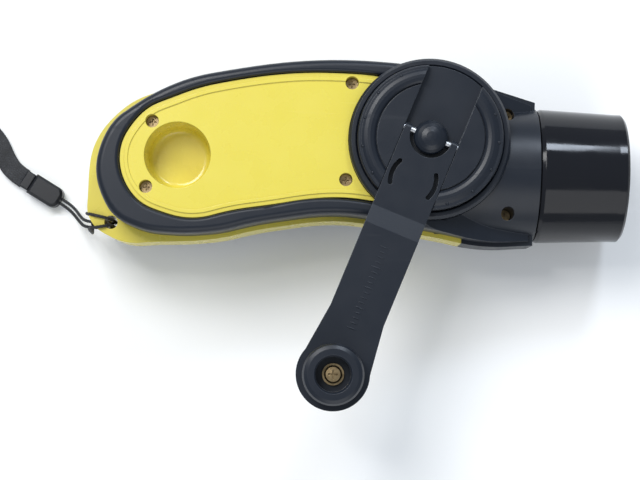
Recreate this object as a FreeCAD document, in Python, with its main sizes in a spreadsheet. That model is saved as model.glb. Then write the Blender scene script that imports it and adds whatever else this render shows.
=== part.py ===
import FreeCAD, Part
import math
import os
import re

import Sketcher
from FreeCAD import Placement, Rotation, Vector

# Hand crank flashlight, in millimetres.
# Origin: the middle of the front opening, on the axis of the head.
# +X is where the light shines, +Y is towards the rounded back of the grip, +Z is the crank side.
# A station is a distance from the front of the head towards the tail, so x = -station.

SIZES = [
    ("head_length", 28.5, "head tube, front to back"),
    ("head_front_radius", 21.25, "head tube outside at the front"),
    ("head_back_radius", 22.3, "head tube outside at the joint"),
    ("rim_round", 0.8, "chamfer of the front rim"),
    ("opening_radius", 18.4, "clear opening in front of the lens"),
    ("retainer_thickness", 1.6, "lens retainer, along the axis"),
    ("head_bore_radius", 19.6, "bore that takes retainer, lens and reflector rim"),
    ("head_bore_depth", 4.7, "shoulder that the reflector rim sits on"),
    ("head_room_radius", 18.6, "bore behind that shoulder"),
    ("head_room_depth", 17.0, "shoulder that the retaining clip bears on"),
    ("lens_thickness", 1.6, "clear lens"),
    ("reflector_depth", 13.2, "front of the lens seat to the back of the reflector"),
    ("reflector_wall", 1.0, "reflector wall"),
    ("reflector_floor_radius", 8.6, "flat floor round the lamps"),
    ("lamp_radius", 2.5, "lamp body"),
    ("lamp_length", 7.0, "lamp body behind its dome"),
    ("lamp_circle", 4.9, "lamps from the axis"),
    ("lamp_board_radius", 12.0, "lamp board"),
    ("lamp_board_thickness", 1.5, "lamp board"),
    ("neck_gap", 0.5, "dark gap between head and neck"),
    ("neck_radius", 22.3, "neck outside"),
    ("core_radius", 18.0, "sleeve that the head turns on"),
    ("core_wall", 2.5, "wall of that sleeve"),
    ("core_front", 14.6, "station of the sleeve's front end"),
    ("core_back", 36.4, "station of the sleeve's back end"),
    ("core_flange_radius", 20.5, "flange gripped by the frames"),
    ("core_flange_start", 30.0, "station of the flange"),
    ("core_flange_thickness", 3.0, "flange"),
    ("clip_thickness", 1.1, "retaining clip"),
    ("seal_section", 0.56, "radius of the sealing ring's cord"),
    ("running_gap", 0.06, "radial clearance of turning fits"),
    ("seat_gap", 0.02, "radial clearance of fixed fits"),
    ("body_length", 147.1, "grip, neck step to tail"),
    ("body_width", 61.1, "grip, belly to back"),
    ("band_half", 8.0, "half the height of the side band"),
    ("band_wall", 2.4, "wall of the side band"),
    ("band_start", 53.0, "station where the side band begins"),
    ("wall_start", 63.0, "station where the shells' inner walls begin"),
    ("frame_inset", 1.5, "frame edge inside the band"),
    ("frame_wall", 1.8, "side wall of the frame"),
    ("bead_crest", 21.2, "crest of the bead above the middle"),
    ("bead_round", 2.2, "rounding of the bead's outer edge"),
    ("bead_inner_round", 1.15, "rounding of the bead's inner edge"),
    ("ledge_step", 0.8, "flat of the frame above the panel's seat"),
    ("ear_height", 8.6, "frame height at the neck step"),
    ("panel_seat", 17.7, "underside of panel and cover"),
    ("panel_thickness", 2.1, "panel and cover plate"),
    ("panel_gap", 0.15, "gap round panel and cover"),
    ("lip_height", 0.4, "raised line round panel and cover"),
    ("lip_width", 1.1, "raised line"),
    ("lip_inset", 1.4, "raised line from the edge"),
    ("inner_wall", 2.0, "upright wall inside the frame"),
    ("flange_width", 7.0, "ledge under the panel"),
    ("flange_thickness", 2.0, "ledge under the panel"),
    ("crank_station", 65.0, "crank axis behind the front"),
    ("crank_across", 8.7, "crank axis from the head axis"),
    ("base_radius", 26.0, "collar round the crank disc"),
    ("base_bottom", 12.05, "underside of the collar"),
    ("base_top", 23.6, "rim of the collar"),
    ("base_floor", 19.8, "floor under the disc"),
    ("disc_radius", 23.3, "crank disc"),
    ("disc_bottom", 20.1, "underside of the disc"),
    ("disc_top", 27.3, "flat middle of the disc"),
    ("arm_angle", 249.0, "direction of the arm in the picture, degrees"),
    ("stow_angle", 185.0, "direction of the knob pocket, degrees"),
    ("arm_width", 18.1, "crank arm"),
    ("arm_thickness", 3.4, "crank arm"),
    ("arm_reach", 81.5, "crank axis to knob axis"),
    ("arm_step", 1.6, "rise of the outer arm"),
    ("arm_step_start", 27.5, "start of the rise"),
    ("arm_step_length", 6.1, "length of the rise"),
    ("arm_end_radius", 11.7, "round end of the arm"),
    ("hinge_height", 25.9, "fold axis above the middle"),
    ("hinge_pin_radius", 1.0, "fold pin"),
    ("channel_gap", 0.2, "arm to channel, each side"),
    ("cap_radius", 5.5, "domed cap in the middle"),
    ("cap_notch", 6.8, "round notch of the arm about the cap"),
    ("knob_radius", 9.6, "knob"),
    ("knob_height", 13.2, "knob"),
    ("knob_lift", 0.3, "gap under the knob"),
    ("knob_recess_radius", 5.5, "recess in the knob's top"),
    ("knob_recess_depth", 8.0, "recess in the knob's top"),
    ("knob_post_radius", 2.0, "shank that the knob turns on"),
    ("pocket_radius", 10.8, "mouth of the knob pocket"),
    ("pocket_taper", 0.8, "mouth radius less floor radius"),
    ("pocket_depth", 12.5, "knob pocket"),
    ("pocket_wall", 1.3, "wall of the pocket"),
    ("pocket_round", 2.2, "rounding round the pocket's floor"),
    ("shaft_radius", 3.0, "crank shaft"),
    ("tooth_module", 0.8, "first gear pair"),
    ("fine_module", 0.6, "second gear pair"),
    ("axle_radius", 1.5, "axle of the middle gear"),
    ("rotor_shaft_radius", 1.0, "generator shaft"),
    ("magnet_radius", 9.0, "generator magnet"),
    ("stator_bore", 9.6, "generator ring, inside"),
    ("stator_radius", 15.2, "generator ring, outside"),
    ("screw_hole", 2.15, "head recess of a case screw"),
    ("screw_head", 2.0, "head of a case screw"),
    ("screw_shank", 1.0, "shank of a case screw"),
    ("boss_radius", 2.6, "boss round a case screw"),
    ("cell_radius", 7.75, "storage cell"),
    ("cell_length", 6.0, "storage cell"),
    ("hole_radius", 2.2, "lanyard hole"),
    ("cord_radius", 0.55, "lanyard string"),
    ("strap_width", 6.8, "lanyard strap"),
    ("strap_thickness", 1.1, "lanyard strap"),
]

# The grip is drawn at these sizes and stretched to the sheet's body_length and body_width.
DRAWN_LENGTH = 147.1
DRAWN_WIDTH = 61.1
NECK_STEP = 29.6

# Plan of the grip, from the neck step along the back, round the tail and along the belly:
# station, across. The yellow band has a squarish corner at the tail, which the black frame leaves out.
BACK_POINTS = [
    (NECK_STEP, 23.6), (48.2, 29.0), (66.6, 33.8), (89.6, 35.6), (121.7, 32.9), (150.0, 25.5),
]
BAND_TAIL = [(165.0, 18.3), (174.2, 6.6), (176.2, -7.5), (174.4, -20.4), (166.8, -25.3), (150.0, -25.8)]
FRAME_TAIL = [
    (161.0, 19.1), (168.3, 13.0), (172.6, 4.5), (173.8, -3.6), (171.9, -11.9), (166.7, -19.8),
    (158.5, -23.9), (147.0, -25.3),
]
BELLY_POINTS = [
    (135.5, -24.7), (117.1, -20.6), (94.0, -17.6), (66.6, -21.3), (43.7, -24.6), (NECK_STEP, -23.8),
]

# Inner edge of the frame's bead. It keeps to the panel, and opens out round the neck.
BEAD_POINTS = [
    (28.0, 17.0), (46.0, 22.0), (60.0, 26.3), (78.0, 28.9), (100.0, 29.9), (123.0, 27.7), (145.2, 21.9),
    (158.8, 14.5), (165.1, 1.2), (160.1, -12.1), (147.0, -18.2), (121.5, -14.9), (98.0, -11.2),
    (78.0, -12.9), (60.0, -17.0), (44.0, -19.2), (28.0, -18.0),
]

# Edge of the palm panel, and of the cover opposite, clockwise from the neck end.
PANEL_POINTS = [
    (50.0, 6.6), (58.4, 21.0), (76.0, 27.7), (100.0, 29.6), (123.0, 27.3), (145.0, 21.6), (158.5, 14.3),
    (164.7, 1.2), (159.8, -11.8), (147.0, -17.9), (121.5, -14.6), (98.0, -10.9), (72.0, -10.8), (54.6, -4.0),
]

# Case screws: station, across.
COVER_SCREWS = [(154.7, 12.4), (156.1, -8.9), (90.4, 26.6), (91.6, -4.9)]
NECK_SCREWS = [(38.9, 18.8), (38.9, -14.2)]

# Turn of the wedge in the head's back edge, from the palm side towards the back of the grip.
POINTER_LEAN = 16.0

# Teeth of the two gear pairs, the driving gear first.
FIRST_PAIR = (48, 12)
SECOND_PAIR = (36, 12)
PRESSURE_ANGLE = math.radians(25)
BACKLASH = 0.12

doc = FreeCAD.newDocument("HandCrankFlashlight")
sheet = doc.addObject("Spreadsheet::Sheet", "Sizes")
for row, (alias, value, meaning) in enumerate(SIZES, start=1):
    sheet.set(f"A{row}", meaning)
    sheet.set(f"B{row}", str(value))
    sheet.setAlias(f"B{row}", alias)
doc.recompute()

ALIASES = {alias for alias, _, _ in SIZES}
nodes = {}


def bound(text):
    """An expression on the sheet, from one written with plain aliases."""
    return re.sub(r"[a-z_]+", lambda m: "Sizes." + m[0] if m[0] in ALIASES else m[0], text)


def amount(text):
    """The present value of such an expression."""
    return float(sheet.evalExpression(bound(str(text))))


def keep(name, thing):
    """Makes an object a sub-part of the flashlight, under its own name."""
    thing.Label = name
    nodes[name] = thing
    return thing


# Sketched pieces


def origin_plane(body, role):
    return next(plane for plane in body.Origin.OriginFeatures if plane.Role == role)


def outline(body, name, corners, role):
    """A closed outline of straight edges, each corner tied to the sheet."""
    sketch = body.newObject("Sketcher::SketchObject", name)
    sketch.AttachmentSupport = (origin_plane(body, role), [""])
    sketch.MapMode = "FlatFace"
    points = [Vector(amount(across), amount(up), 0) for across, up in corners]
    count = len(points)
    for i in range(count):
        sketch.addGeometry(Part.LineSegment(points[i], points[(i + 1) % count]))
    for i in range(count):
        sketch.addConstraint(Sketcher.Constraint("Coincident", i, 2, (i + 1) % count, 1))
    for i, (across, up) in enumerate(corners):
        for kind, text, value in (("DistanceX", across, points[i].x), ("DistanceY", up, points[i].y)):
            index = sketch.addConstraint(Sketcher.Constraint(kind, -1, 1, i, 1, value))
            if any(alias in text for alias in ALIASES):
                sketch.setExpression(f"Constraints[{index}]", bound(text))
    return sketch


def put(thing, at, along="Z", turn=0.0):
    """Places a piece. Its own Z points along the given axis, and its place is tied to the sheet."""
    aim = {"Z": Rotation(), "X": Rotation(Vector(0, 0, 1), Vector(1, 0, 0))}[along]
    thing.Placement = Placement(Vector(), aim * Rotation(Vector(0, 0, 1), turn))
    for letter, text in zip("xyz", at):
        thing.setExpression(f"Placement.Base.{letter}", bound(text))
    return thing


def turned(name, corners, at=("0", "0", "0"), along="Z", turn=0.0):
    """A turned piece, from corners given as radius and height."""
    body = doc.addObject("PartDesign::Body", name)
    sketch = outline(body, name + "_profile", corners, "XZ_Plane")
    revolution = body.newObject("PartDesign::Revolution", name + "_turned")
    revolution.Profile = sketch
    revolution.ReferenceAxis = (sketch, ["V_Axis"])
    revolution.Angle = 360
    return put(body, at, along, turn)


def prism(name, corners, height, at=("0", "0", "0"), along="Z", turn=0.0):
    """A piece of even height, from corners given in its own plane."""
    body = doc.addObject("PartDesign::Body", name)
    sketch = outline(body, name + "_plan", corners, "XY_Plane")
    pad = body.newObject("PartDesign::Pad", name + "_pad")
    pad.Profile = sketch
    pad.Length = amount(height)
    pad.setExpression("Length", bound(height))
    return put(body, at, along, turn)


def rod(name, radius, height, at, along="Z"):
    """A plain round bar or a round cutter."""
    bar = doc.addObject("Part::Cylinder", name)
    bar.Radius = amount(radius)
    bar.setExpression("Radius", bound(radius))
    bar.Height = amount(height)
    bar.setExpression("Height", bound(height))
    return put(bar, at, along)


def less(name, base, tools):
    """A piece with others cut out of it."""
    for i, tool in enumerate(tools):
        cut = doc.addObject("Part::Cut", f"{name}_cut_{i + 1}")
        cut.Base = base
        cut.Tool = tool
        base = cut
    return base


# Shapes of free outline, for Part::Feature pieces


def feature(name, shape):
    """A piece whose shape is worked out below from the sheet's sizes."""
    piece = doc.addObject("Part::Feature", name)
    place = shape.Placement
    piece.Shape = shape
    piece.Placement = place
    return keep(name, piece)


def spot(station, across):
    """A point of the grip, stretched from the drawn grip to the sheet's sizes."""
    along = NECK_STEP + (station - NECK_STEP) * amount("body_length") / DRAWN_LENGTH
    return Vector(-along, across * amount("body_width") / DRAWN_WIDTH, 0)


def heading(before, at, after):
    """Direction of the circle through three points, at the middle one."""
    first = at - before
    second = after - at
    way = first / first.Length ** 2 + second / second.Length ** 2
    return way / way.Length


def arc_between(start, way, end):
    """An arc that leaves a point in a given direction and reaches another point."""
    chord = end - start
    side = Vector(-way.y, way.x, 0)
    bend = 2 * chord.dot(side)
    if abs(bend) < 1e-6 * chord.Length:
        return Part.LineSegment(start, end).toShape()
    centre = start + side * (chord.Length ** 2 / bend)
    middle = (start - centre) + (end - centre)
    middle = centre + middle / middle.Length * (start - centre).Length
    return Part.Arc(start, middle, end).toShape()


def smooth_edges(points, ways):
    """Two tangent arcs between each point and the next, all in one smooth line."""
    edges = []
    for i in range(len(points) - 1):
        start, end, leave, arrive = points[i], points[i + 1], ways[i], ways[i + 1]
        chord = end - start
        both = leave + arrive
        spread = 2 * (1 - leave.dot(arrive))
        along = chord.dot(both)
        if spread > 1e-9:
            reach = (math.sqrt(along ** 2 + spread * chord.Length ** 2) - along) / spread
        else:
            reach = chord.Length ** 2 / (2 * along)
        meet = (start + leave * reach + end - arrive * reach) / 2
        edges.append(arc_between(start, leave, meet))
        turned_way = (meet - start).normalize()
        onward = turned_way * (2 * leave.dot(turned_way)) - leave
        edges.append(arc_between(meet, onward, end))
    return edges


def curve_face(points, closed):
    """A flat face inside one smooth line of arcs. An open line is closed by a straight edge."""
    spots = [spot(*point) for point in points]
    if closed:
        spots = spots + spots[:1]
        around = [spots[-2]] + spots + spots[1:2]
    else:
        around = [spots[0] * 2 - spots[1]] + spots + [spots[-1] * 2 - spots[-2]]
    ways = [heading(*around[i:i + 3]) for i in range(len(spots))]
    edges = smooth_edges(spots, ways)
    if not closed:
        edges.append(Part.LineSegment(spots[-1], spots[0]).toShape())
    return Part.Face(Part.Wire(edges))


def offset(face, distance):
    """The same outline drawn outwards by a distance, or inwards if it is negative."""
    return face.makeOffset2D(distance, 0, False, False, False) if distance else face


def slab(face, low, high):
    """An upright solid over a flat outline."""
    raised = face.copy()
    raised.translate(Vector(0, 0, low))
    solid = raised.extrude(Vector(0, 0, high - low))
    return solid.Solids[0] if solid.Solids else solid


def tidied(shape):
    """The same shape with its split faces grown together, where that leaves it sound."""
    clean = shape.copy().removeSplitter()
    sound = clean.isValid() and abs(clean.Volume - shape.Volume) < 0.01
    best = clean if sound else shape
    return best.Solids[0] if len(best.Solids) == 1 else best


def drum(radius, low, high, at=Vector()):
    """An upright cylinder between two heights."""
    return Part.makeCylinder(radius, high - low, Vector(at.x, at.y, low))


def level(radius, start, end):
    """A cylinder on the head axis between two stations."""
    return Part.makeCylinder(radius, end - start, Vector(-end, 0, 0), Vector(1, 0, 0))


def block(low, high):
    """A box between two corners."""
    return Part.makeBox(*(high[i] - low[i] for i in range(3)), Vector(*low))


def mirrored(shape):
    """The same shape on the palm side."""
    return shape.mirror(Vector(), Vector(0, 0, 1))


def side_profile(points, reach):
    """A solid with a given outline in side view, as wide as the grip."""
    corners = [Vector(-station, -reach, height) for station, height in points]
    wire = Part.makePolygon(corners + corners[:1])
    return Part.Face(wire).extrude(Vector(0, 2 * reach, 0))


crank_axis = Vector(-amount("crank_station"), amount("crank_across"), 0)
CRANK_AT = ("-crank_station", "crank_across", "0")


def from_crank(distance, degrees, side=0.0):
    """A point at a distance from the crank axis in a direction, and aside from that line."""
    turn = math.radians(degrees)
    return crank_axis + Vector(
        distance * math.cos(turn) - side * math.sin(turn),
        distance * math.sin(turn) + side * math.cos(turn),
        0,
    )


band = curve_face(BACK_POINTS + BAND_TAIL + BELLY_POINTS, closed=False)
frame_plan = curve_face(BACK_POINTS + FRAME_TAIL + BELLY_POINTS, closed=False)
bead_inside = curve_face(BEAD_POINTS, closed=False)
panel = curve_face(PANEL_POINTS, closed=True)
pocket_axis = from_crank(amount("arm_reach"), amount("stow_angle"))


# Head


def build_head():
    """Everything that turns with the head tube."""
    keep("head_tube", less("head_tube", turned("head_tube_wall", [
        ("head_bore_radius", "0"),
        ("head_front_radius - rim_round", "0"),
        ("head_front_radius", "-rim_round"),
        ("head_front_radius", "-4 * rim_round"),
        ("head_back_radius", "-head_length + 1.2"),
        ("head_back_radius - 0.5", "-head_length"),
        ("core_radius + running_gap", "-head_length"),
        ("core_radius + running_gap", "-head_room_depth"),
        ("head_room_radius", "-head_room_depth"),
        ("head_room_radius", "-head_bore_depth"),
        ("head_bore_radius", "-head_bore_depth"),
    ], along="X"), [pointer_notch()]))
    keep("lens_retainer", turned("lens_retainer", [
        ("opening_radius", "0"),
        ("head_bore_radius - seat_gap", "0"),
        ("head_bore_radius - seat_gap", "-retainer_thickness"),
        ("opening_radius", "-retainer_thickness"),
    ], along="X"))
    keep("lens", turned("lens", [
        ("0", "0"),
        ("head_bore_radius - 0.1", "0"),
        ("head_bore_radius - 0.1", "-lens_thickness"),
        ("0", "-lens_thickness"),
    ], at=("-retainer_thickness", "0", "0"), along="X"))
    lamp_spots = []
    for i in range(3):
        turn = 2 * math.pi * i / 3
        lamp_spots.append((math.cos(turn), math.sin(turn)))
    reflector = turned("reflector_cup", [
        ("head_bore_radius - 0.1", "-retainer_thickness - lens_thickness"),
        ("head_bore_radius - 0.1", "-head_bore_depth"),
        ("head_room_radius - 0.3", "-head_bore_depth"),
        ("head_room_radius - 2.4", "-head_bore_depth - 4"),
        ("reflector_floor_radius + 3.6", "-head_bore_depth - 7.6"),
        ("reflector_floor_radius + reflector_wall", "-retainer_thickness - reflector_depth"),
        ("0", "-retainer_thickness - reflector_depth"),
        ("0", "-retainer_thickness - reflector_depth + reflector_wall"),
        ("reflector_floor_radius", "-retainer_thickness - reflector_depth + reflector_wall"),
        ("reflector_floor_radius + 2.6", "-head_bore_depth - 7.2"),
        ("head_room_radius - 3.4", "-head_bore_depth - 3.4"),
        ("head_room_radius - 1.2", "-retainer_thickness - lens_thickness"),
    ], along="X")
    holes = []
    for i, (right, up) in enumerate(lamp_spots):
        across = f"{right:.6f} * lamp_circle"
        rise = f"{up:.6f} * lamp_circle"
        holes.append(rod(f"lamp_hole_{i + 1}", "lamp_radius + 0.15", "reflector_wall + 2",
                         ("-retainer_thickness - reflector_depth - 1", across, rise), "X"))
        keep(f"lamp_{i + 1}", turned(f"lamp_{i + 1}", [
            ("0", "0"),
            ("lamp_radius", "0"),
            ("lamp_radius", "lamp_length"),
            ("lamp_radius * 0.92", "lamp_length + lamp_radius * 0.4"),
            ("lamp_radius * 0.7", "lamp_length + lamp_radius * 0.72"),
            ("lamp_radius * 0.38", "lamp_length + lamp_radius * 0.93"),
            ("0", "lamp_length + lamp_radius"),
        ], at=("-retainer_thickness - reflector_depth", across, rise), along="X"))
    keep("reflector", less("reflector", reflector, holes))
    keep("lamp_board", turned("lamp_board", [
        ("0", "0"),
        ("lamp_board_radius", "0"),
        ("lamp_board_radius", "-lamp_board_thickness"),
        ("0", "-lamp_board_thickness"),
    ], at=("-retainer_thickness - reflector_depth", "0", "0"), along="X"))
    keep("switch_wiper", prism("switch_wiper", [
        ("-1.5", "-1.2"), ("1.5", "-1.2"), ("1.5", "1.2"), ("-1.5", "1.2"),
    ], "3.2", at=("-retainer_thickness - reflector_depth - lamp_board_thickness - 3.2",
                  "0", "-lamp_board_radius + 1.9"), along="X"))


def pointer_notch():
    """The small wedge cut in the head's back edge, against the marks on the neck."""
    return prism("pointer_wedge", [
        ("-head_back_radius - 1", "-1.3"),
        ("-head_back_radius + 0.9", "0"),
        ("-head_back_radius - 1", "1.3"),
    ], "2.6", at=("-head_length - 0.1", "0", "0"), along="X", turn=180 + POINTER_LEAN)


def build_neck():
    """The sleeve that the head turns on, and what it carries."""
    clip_back = "head_room_depth - 0.2"
    groove_front = "head_room_depth - 0.25 - clip_thickness"
    keep("neck_core", turned("neck_core", [
        ("core_radius - core_wall", "-core_front"),
        ("core_radius", "-core_front"),
        ("core_radius", f"-({groove_front})"),
        ("core_radius - 0.8", f"-({groove_front})"),
        ("core_radius - 0.8", f"-({clip_back} + 0.05)"),
        ("core_radius", f"-({clip_back} + 0.05)"),
        ("core_radius", "-head_room_depth - 5"),
        ("core_radius + 0.03 - 2 * seal_section", "-head_room_depth - 5"),
        ("core_radius + 0.03 - 2 * seal_section", "-head_room_depth - 6.6"),
        ("core_radius", "-head_room_depth - 6.6"),
        ("core_radius", "-core_flange_start"),
        ("core_flange_radius", "-core_flange_start"),
        ("core_flange_radius", "-core_flange_start - core_flange_thickness"),
        ("core_radius", "-core_flange_start - core_flange_thickness"),
        ("core_radius", "-core_back"),
        ("core_radius - core_wall", "-core_back"),
    ], along="X"))
    keep("head_clip", turned("head_clip", [
        ("core_radius - 0.8 + seat_gap", "0"),
        ("head_room_radius - 0.15", "0"),
        ("head_room_radius - 0.15", "-clip_thickness"),
        ("core_radius - 0.8 + seat_gap", "-clip_thickness"),
    ], at=("-head_room_depth + 0.2 + clip_thickness", "0", "0"), along="X"))
    seal = doc.addObject("Part::Torus", "neck_seal")
    seal.Radius1 = amount("core_radius + 0.04 - seal_section")
    seal.setExpression("Radius1", bound("core_radius + 0.04 - seal_section"))
    seal.Radius2 = amount("seal_section")
    seal.setExpression("Radius2", bound("seal_section"))
    keep("neck_seal", put(seal, ("-head_room_depth - 5.8", "0", "0"), "X"))
    keep("contact_ring", turned("contact_ring", [
        ("lamp_board_radius - 3.4", "0"),
        ("core_radius - core_wall - seat_gap", "0"),
        ("core_radius - core_wall - seat_gap", "-0.8"),
        ("lamp_board_radius - 3.4", "-0.8"),
    ], at=("-retainer_thickness - reflector_depth - lamp_board_thickness - 3.5", "0", "0"), along="X"))


# Grip


def grip_sizes():
    """Heights and widths that several pieces of the grip share."""
    seat = amount("panel_seat")
    return {
        "band": amount("band_half"),
        "seat": seat,
        "face": seat + amount("panel_thickness"),
        "crest": amount("bead_crest"),
        "start": amount("band_start"),
        "wide": 1.5 * amount("body_width"),
        "long": NECK_STEP + amount("body_length") + 10,
    }


def behind(start, low, high):
    """The part of the grip behind a station, between two heights."""
    g = grip_sizes()
    return block((-g["long"], -g["wide"], low), (-start, g["wide"], high))


def near_outline(edge, first, second):
    """Whether an edge lies nearer the rim of one flat outline than that of another."""
    middle = edge.valueAt((edge.FirstParameter + edge.LastParameter) / 2)
    point = Part.Vertex(middle.x, middle.y, 0)
    return first.OuterWire.distToShape(point)[0] < second.OuterWire.distToShape(point)[0]


def same_edge(shape, edge):
    """The edge of a shape with the same middle as one picked before the shape changed."""
    middle = edge.valueAt((edge.FirstParameter + edge.LastParameter) / 2)
    return min(shape.Edges, key=lambda other: (
        other.valueAt((other.FirstParameter + other.LastParameter) / 2) - middle).Length)


# Most of the bead's width that its outer and its inner rounding may take.
OUTER_SHARE = 0.65
INNER_SHARE = 0.35


def build_frame(side):
    """The black frame of one side: neck half, ear pieces and the rounded bead round the panel."""
    g = grip_sizes()
    crank_side = side == "crank"
    inset = amount("frame_inset")
    ring = slab(offset(frame_plan, -inset), g["band"], g["crest"])
    ledge = g["seat"] + amount("ledge_step")
    ring = ring.cut(slab(bead_inside, ledge, 2 * g["crest"]))
    tops = [edge for edge in ring.Edges if edge.BoundBox.ZMin > g["crest"] - 0.01
            and abs(edge.Vertexes[0].X - edge.Vertexes[-1].X) > 0.01]
    rim = offset(frame_plan, -inset)
    narrowest = min(rim.OuterWire.distToShape(Part.Vertex(spot(*point)))[0] for point in BEAD_POINTS[3:15])
    rounds = (
        (min(amount("bead_round"), OUTER_SHARE * narrowest), False),
        (min(amount("bead_inner_round"), INNER_SHARE * narrowest), True),
    )
    for radius, inner in rounds:
        chosen = [edge for edge in tops if inner == near_outline(edge, bead_inside, rim)]
        ring = ring.makeFillet(radius, [same_edge(ring, edge) for edge in chosen])
    top = g["crest"] + 0.01
    ring = ring.common(side_profile([
        (NECK_STEP - 1, -1),
        (NECK_STEP - 1, amount("ear_height")),
        (44.0, 12.2),
        (55.5, 17.4),
        (66.0, top),
        (g["long"], top),
        (g["long"], -1),
    ], g["wide"]))
    ears = slab(band, 0, g["band"]).common(block(
        (-g["start"] + 0.1, -g["wide"], 0), (0, g["wide"], g["band"])))
    neck_front = amount("head_length + neck_gap")
    neck = level(amount("neck_radius"), neck_front, 62).common(block(
        (-70, -g["wide"], 0), (0, g["wide"], 2 * g["crest"])))
    shape = ring.fuse([ears, neck])
    # room for the panel, for the inner shell and for the works
    opening = offset(panel, amount("panel_gap"))
    shape = shape.cut(slab(opening, g["seat"], 2 * g["crest"]))
    hollow = slab(offset(frame_plan, -inset - amount("frame_wall")), 0, g["seat"])
    shape = shape.cut(hollow.common(behind(amount("wall_start") - 0.1, 0, g["seat"])))
    shape = shape.cut(slab(offset(band, 1), 0, g["band"]).common(behind(g["start"], 0, g["band"])))
    well = amount("base_radius") - 4.5
    shape = shape.cut(drum(well, -1, amount("base_bottom") if crank_side else 14.5, crank_axis))
    shape = shape.cut(level(11, 30, 60))
    fit = amount("seat_gap")
    shape = shape.cut(level(amount("core_radius") + fit, 0, amount("core_back") + 0.1))
    flange = amount("core_flange_start")
    shape = shape.cut(level(
        amount("core_flange_radius") + fit, flange - 0.1,
        flange + amount("core_flange_thickness") + 0.1))
    if crank_side:
        shape = shape.cut(drum(amount("base_radius") + 0.1, amount("base_bottom"), 40, crank_axis))
        for screw in NECK_SCREWS:
            shape = shape.cut(drum(amount("screw_hole"), 5, 40, spot(*screw)))
            shape = shape.cut(drum(amount("screw_shank") + 0.15, -1, 6, spot(*screw)))
        return feature("frame_crank", tidied(shape))
    for screw in NECK_SCREWS:
        shape = shape.cut(drum(amount("screw_shank + seat_gap"), -1, 9, spot(*screw)))
    for at in board_posts():
        shape = shape.cut(drum(BOARD_POST + 0.2, 10, g["seat"] + 1, at))
    return feature("frame_palm", mirrored(tidied(shape)))


def lanyard_hole():
    """The hole through the tail corner that the lanyard is hitched to: its middle."""
    return spot(168.3, -19.9)


def build_shell(side):
    """The yellow shell of one side: the band, and inside the frame a wall with a ledge."""
    g = grip_sizes()
    inset = amount("frame_inset + frame_wall") + 0.2
    inner = offset(frame_plan, -inset)
    core = offset(frame_plan, -inset - amount("inner_wall"))
    ledge = offset(frame_plan, -inset - amount("flange_width"))
    web = amount("band_wall") * 0.7
    shape = slab(band, 0, g["band"]).cut(slab(offset(band, -amount("band_wall")), -1, g["band"] - web))
    shape = shape.cut(slab(core, g["band"] - web - 1, g["band"] + 1))
    wall = slab(inner, g["band"], g["seat"]).cut(slab(core, g["band"] - 1, g["seat"] + 1))
    rim = slab(inner, g["seat"] - amount("flange_thickness"), g["seat"])
    rim = rim.cut(slab(ledge, g["seat"] - amount("flange_thickness") - 1, g["seat"] + 1))
    shape = shape.fuse([part.common(behind(amount("wall_start"), 0, g["seat"])) for part in (wall, rim)])
    hole = lanyard_hole()
    lobe = slab(offset(band, -0.5), 0, g["band"]).common(drum(9, 0, g["band"], hole))
    shape = shape.fuse(lobe)
    shape = shape.common(behind(g["start"], 0, g["seat"]))
    shape = shape.cut(drum(amount("hole_radius"), -1, 40, hole))
    if side == "palm":
        return feature("shell_palm", mirrored(tidied(shape)))
    base = amount("base_bottom")
    platform = drum(amount("base_radius") + 1.5, base - 2, base, crank_axis).common(
        slab(inner, 0, g["seat"])).common(behind(amount("wall_start"), 0, g["seat"]))
    idler = idler_axis()
    room = drum(12.5, 0, base, idler).fuse(block((idler.x - 26, idler.y - 5, 0), (idler.x, idler.y + 5, base)))
    shape = shape.fuse(platform.cut(room))
    post_top = 14.0
    boss = amount("boss_radius")
    for station, across in COVER_SCREWS:
        at = spot(station, across)
        shape = shape.fuse(drum(boss, 2, post_top, at))
        shape = shape.cut(drum(boss + 0.85, post_top, g["seat"] + 1, at))
    wheel_tip = amount("fine_module") * (SECOND_PAIR[0] / 2 + 1)
    shape = shape.cut(drum(wheel_tip + 0.3, 2, base, idler))
    for (station, across), reach in zip(COVER_SCREWS, RIB_REACH):
        at = spot(station, across)
        rib = block((at.x - 0.8, min(at.y, at.y + reach), 4), (at.x + 0.8, max(at.y, at.y + reach), 13.5))
        shape = shape.fuse(rib.common(slab(inner, 0, g["seat"])))
    cup = amount("pocket_radius + pocket_wall") + 0.2
    shape = shape.cut(drum(cup, g["face"] - amount("pocket_depth + pocket_wall") - 0.2, 30, pocket_axis))
    for station, across in COVER_SCREWS:
        shape = shape.cut(drum(amount("screw_shank + seat_gap"), 5, post_top + 1, spot(station, across)))
    shape = shape.cut(drum(amount("base_radius") - 4.5, -1, base + 1, crank_axis))
    shape = shape.cut(drum(amount("base_radius") + 0.1, base, 30, crank_axis))
    return feature("shell_crank", tidied(shape))


# How far each boss's rib runs across to the wall, in the order of the cover screws.
RIB_REACH = [11.0, -14.0, 8.0, -12.0]


def raised_line(low, high):
    """The thin raised line just inside the edge of a panel."""
    first = offset(panel, -amount("lip_inset"))
    second = offset(panel, -amount("lip_inset + lip_width"))
    return slab(first, low, high).cut(slab(second, low - 1, high + 1))


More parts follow.
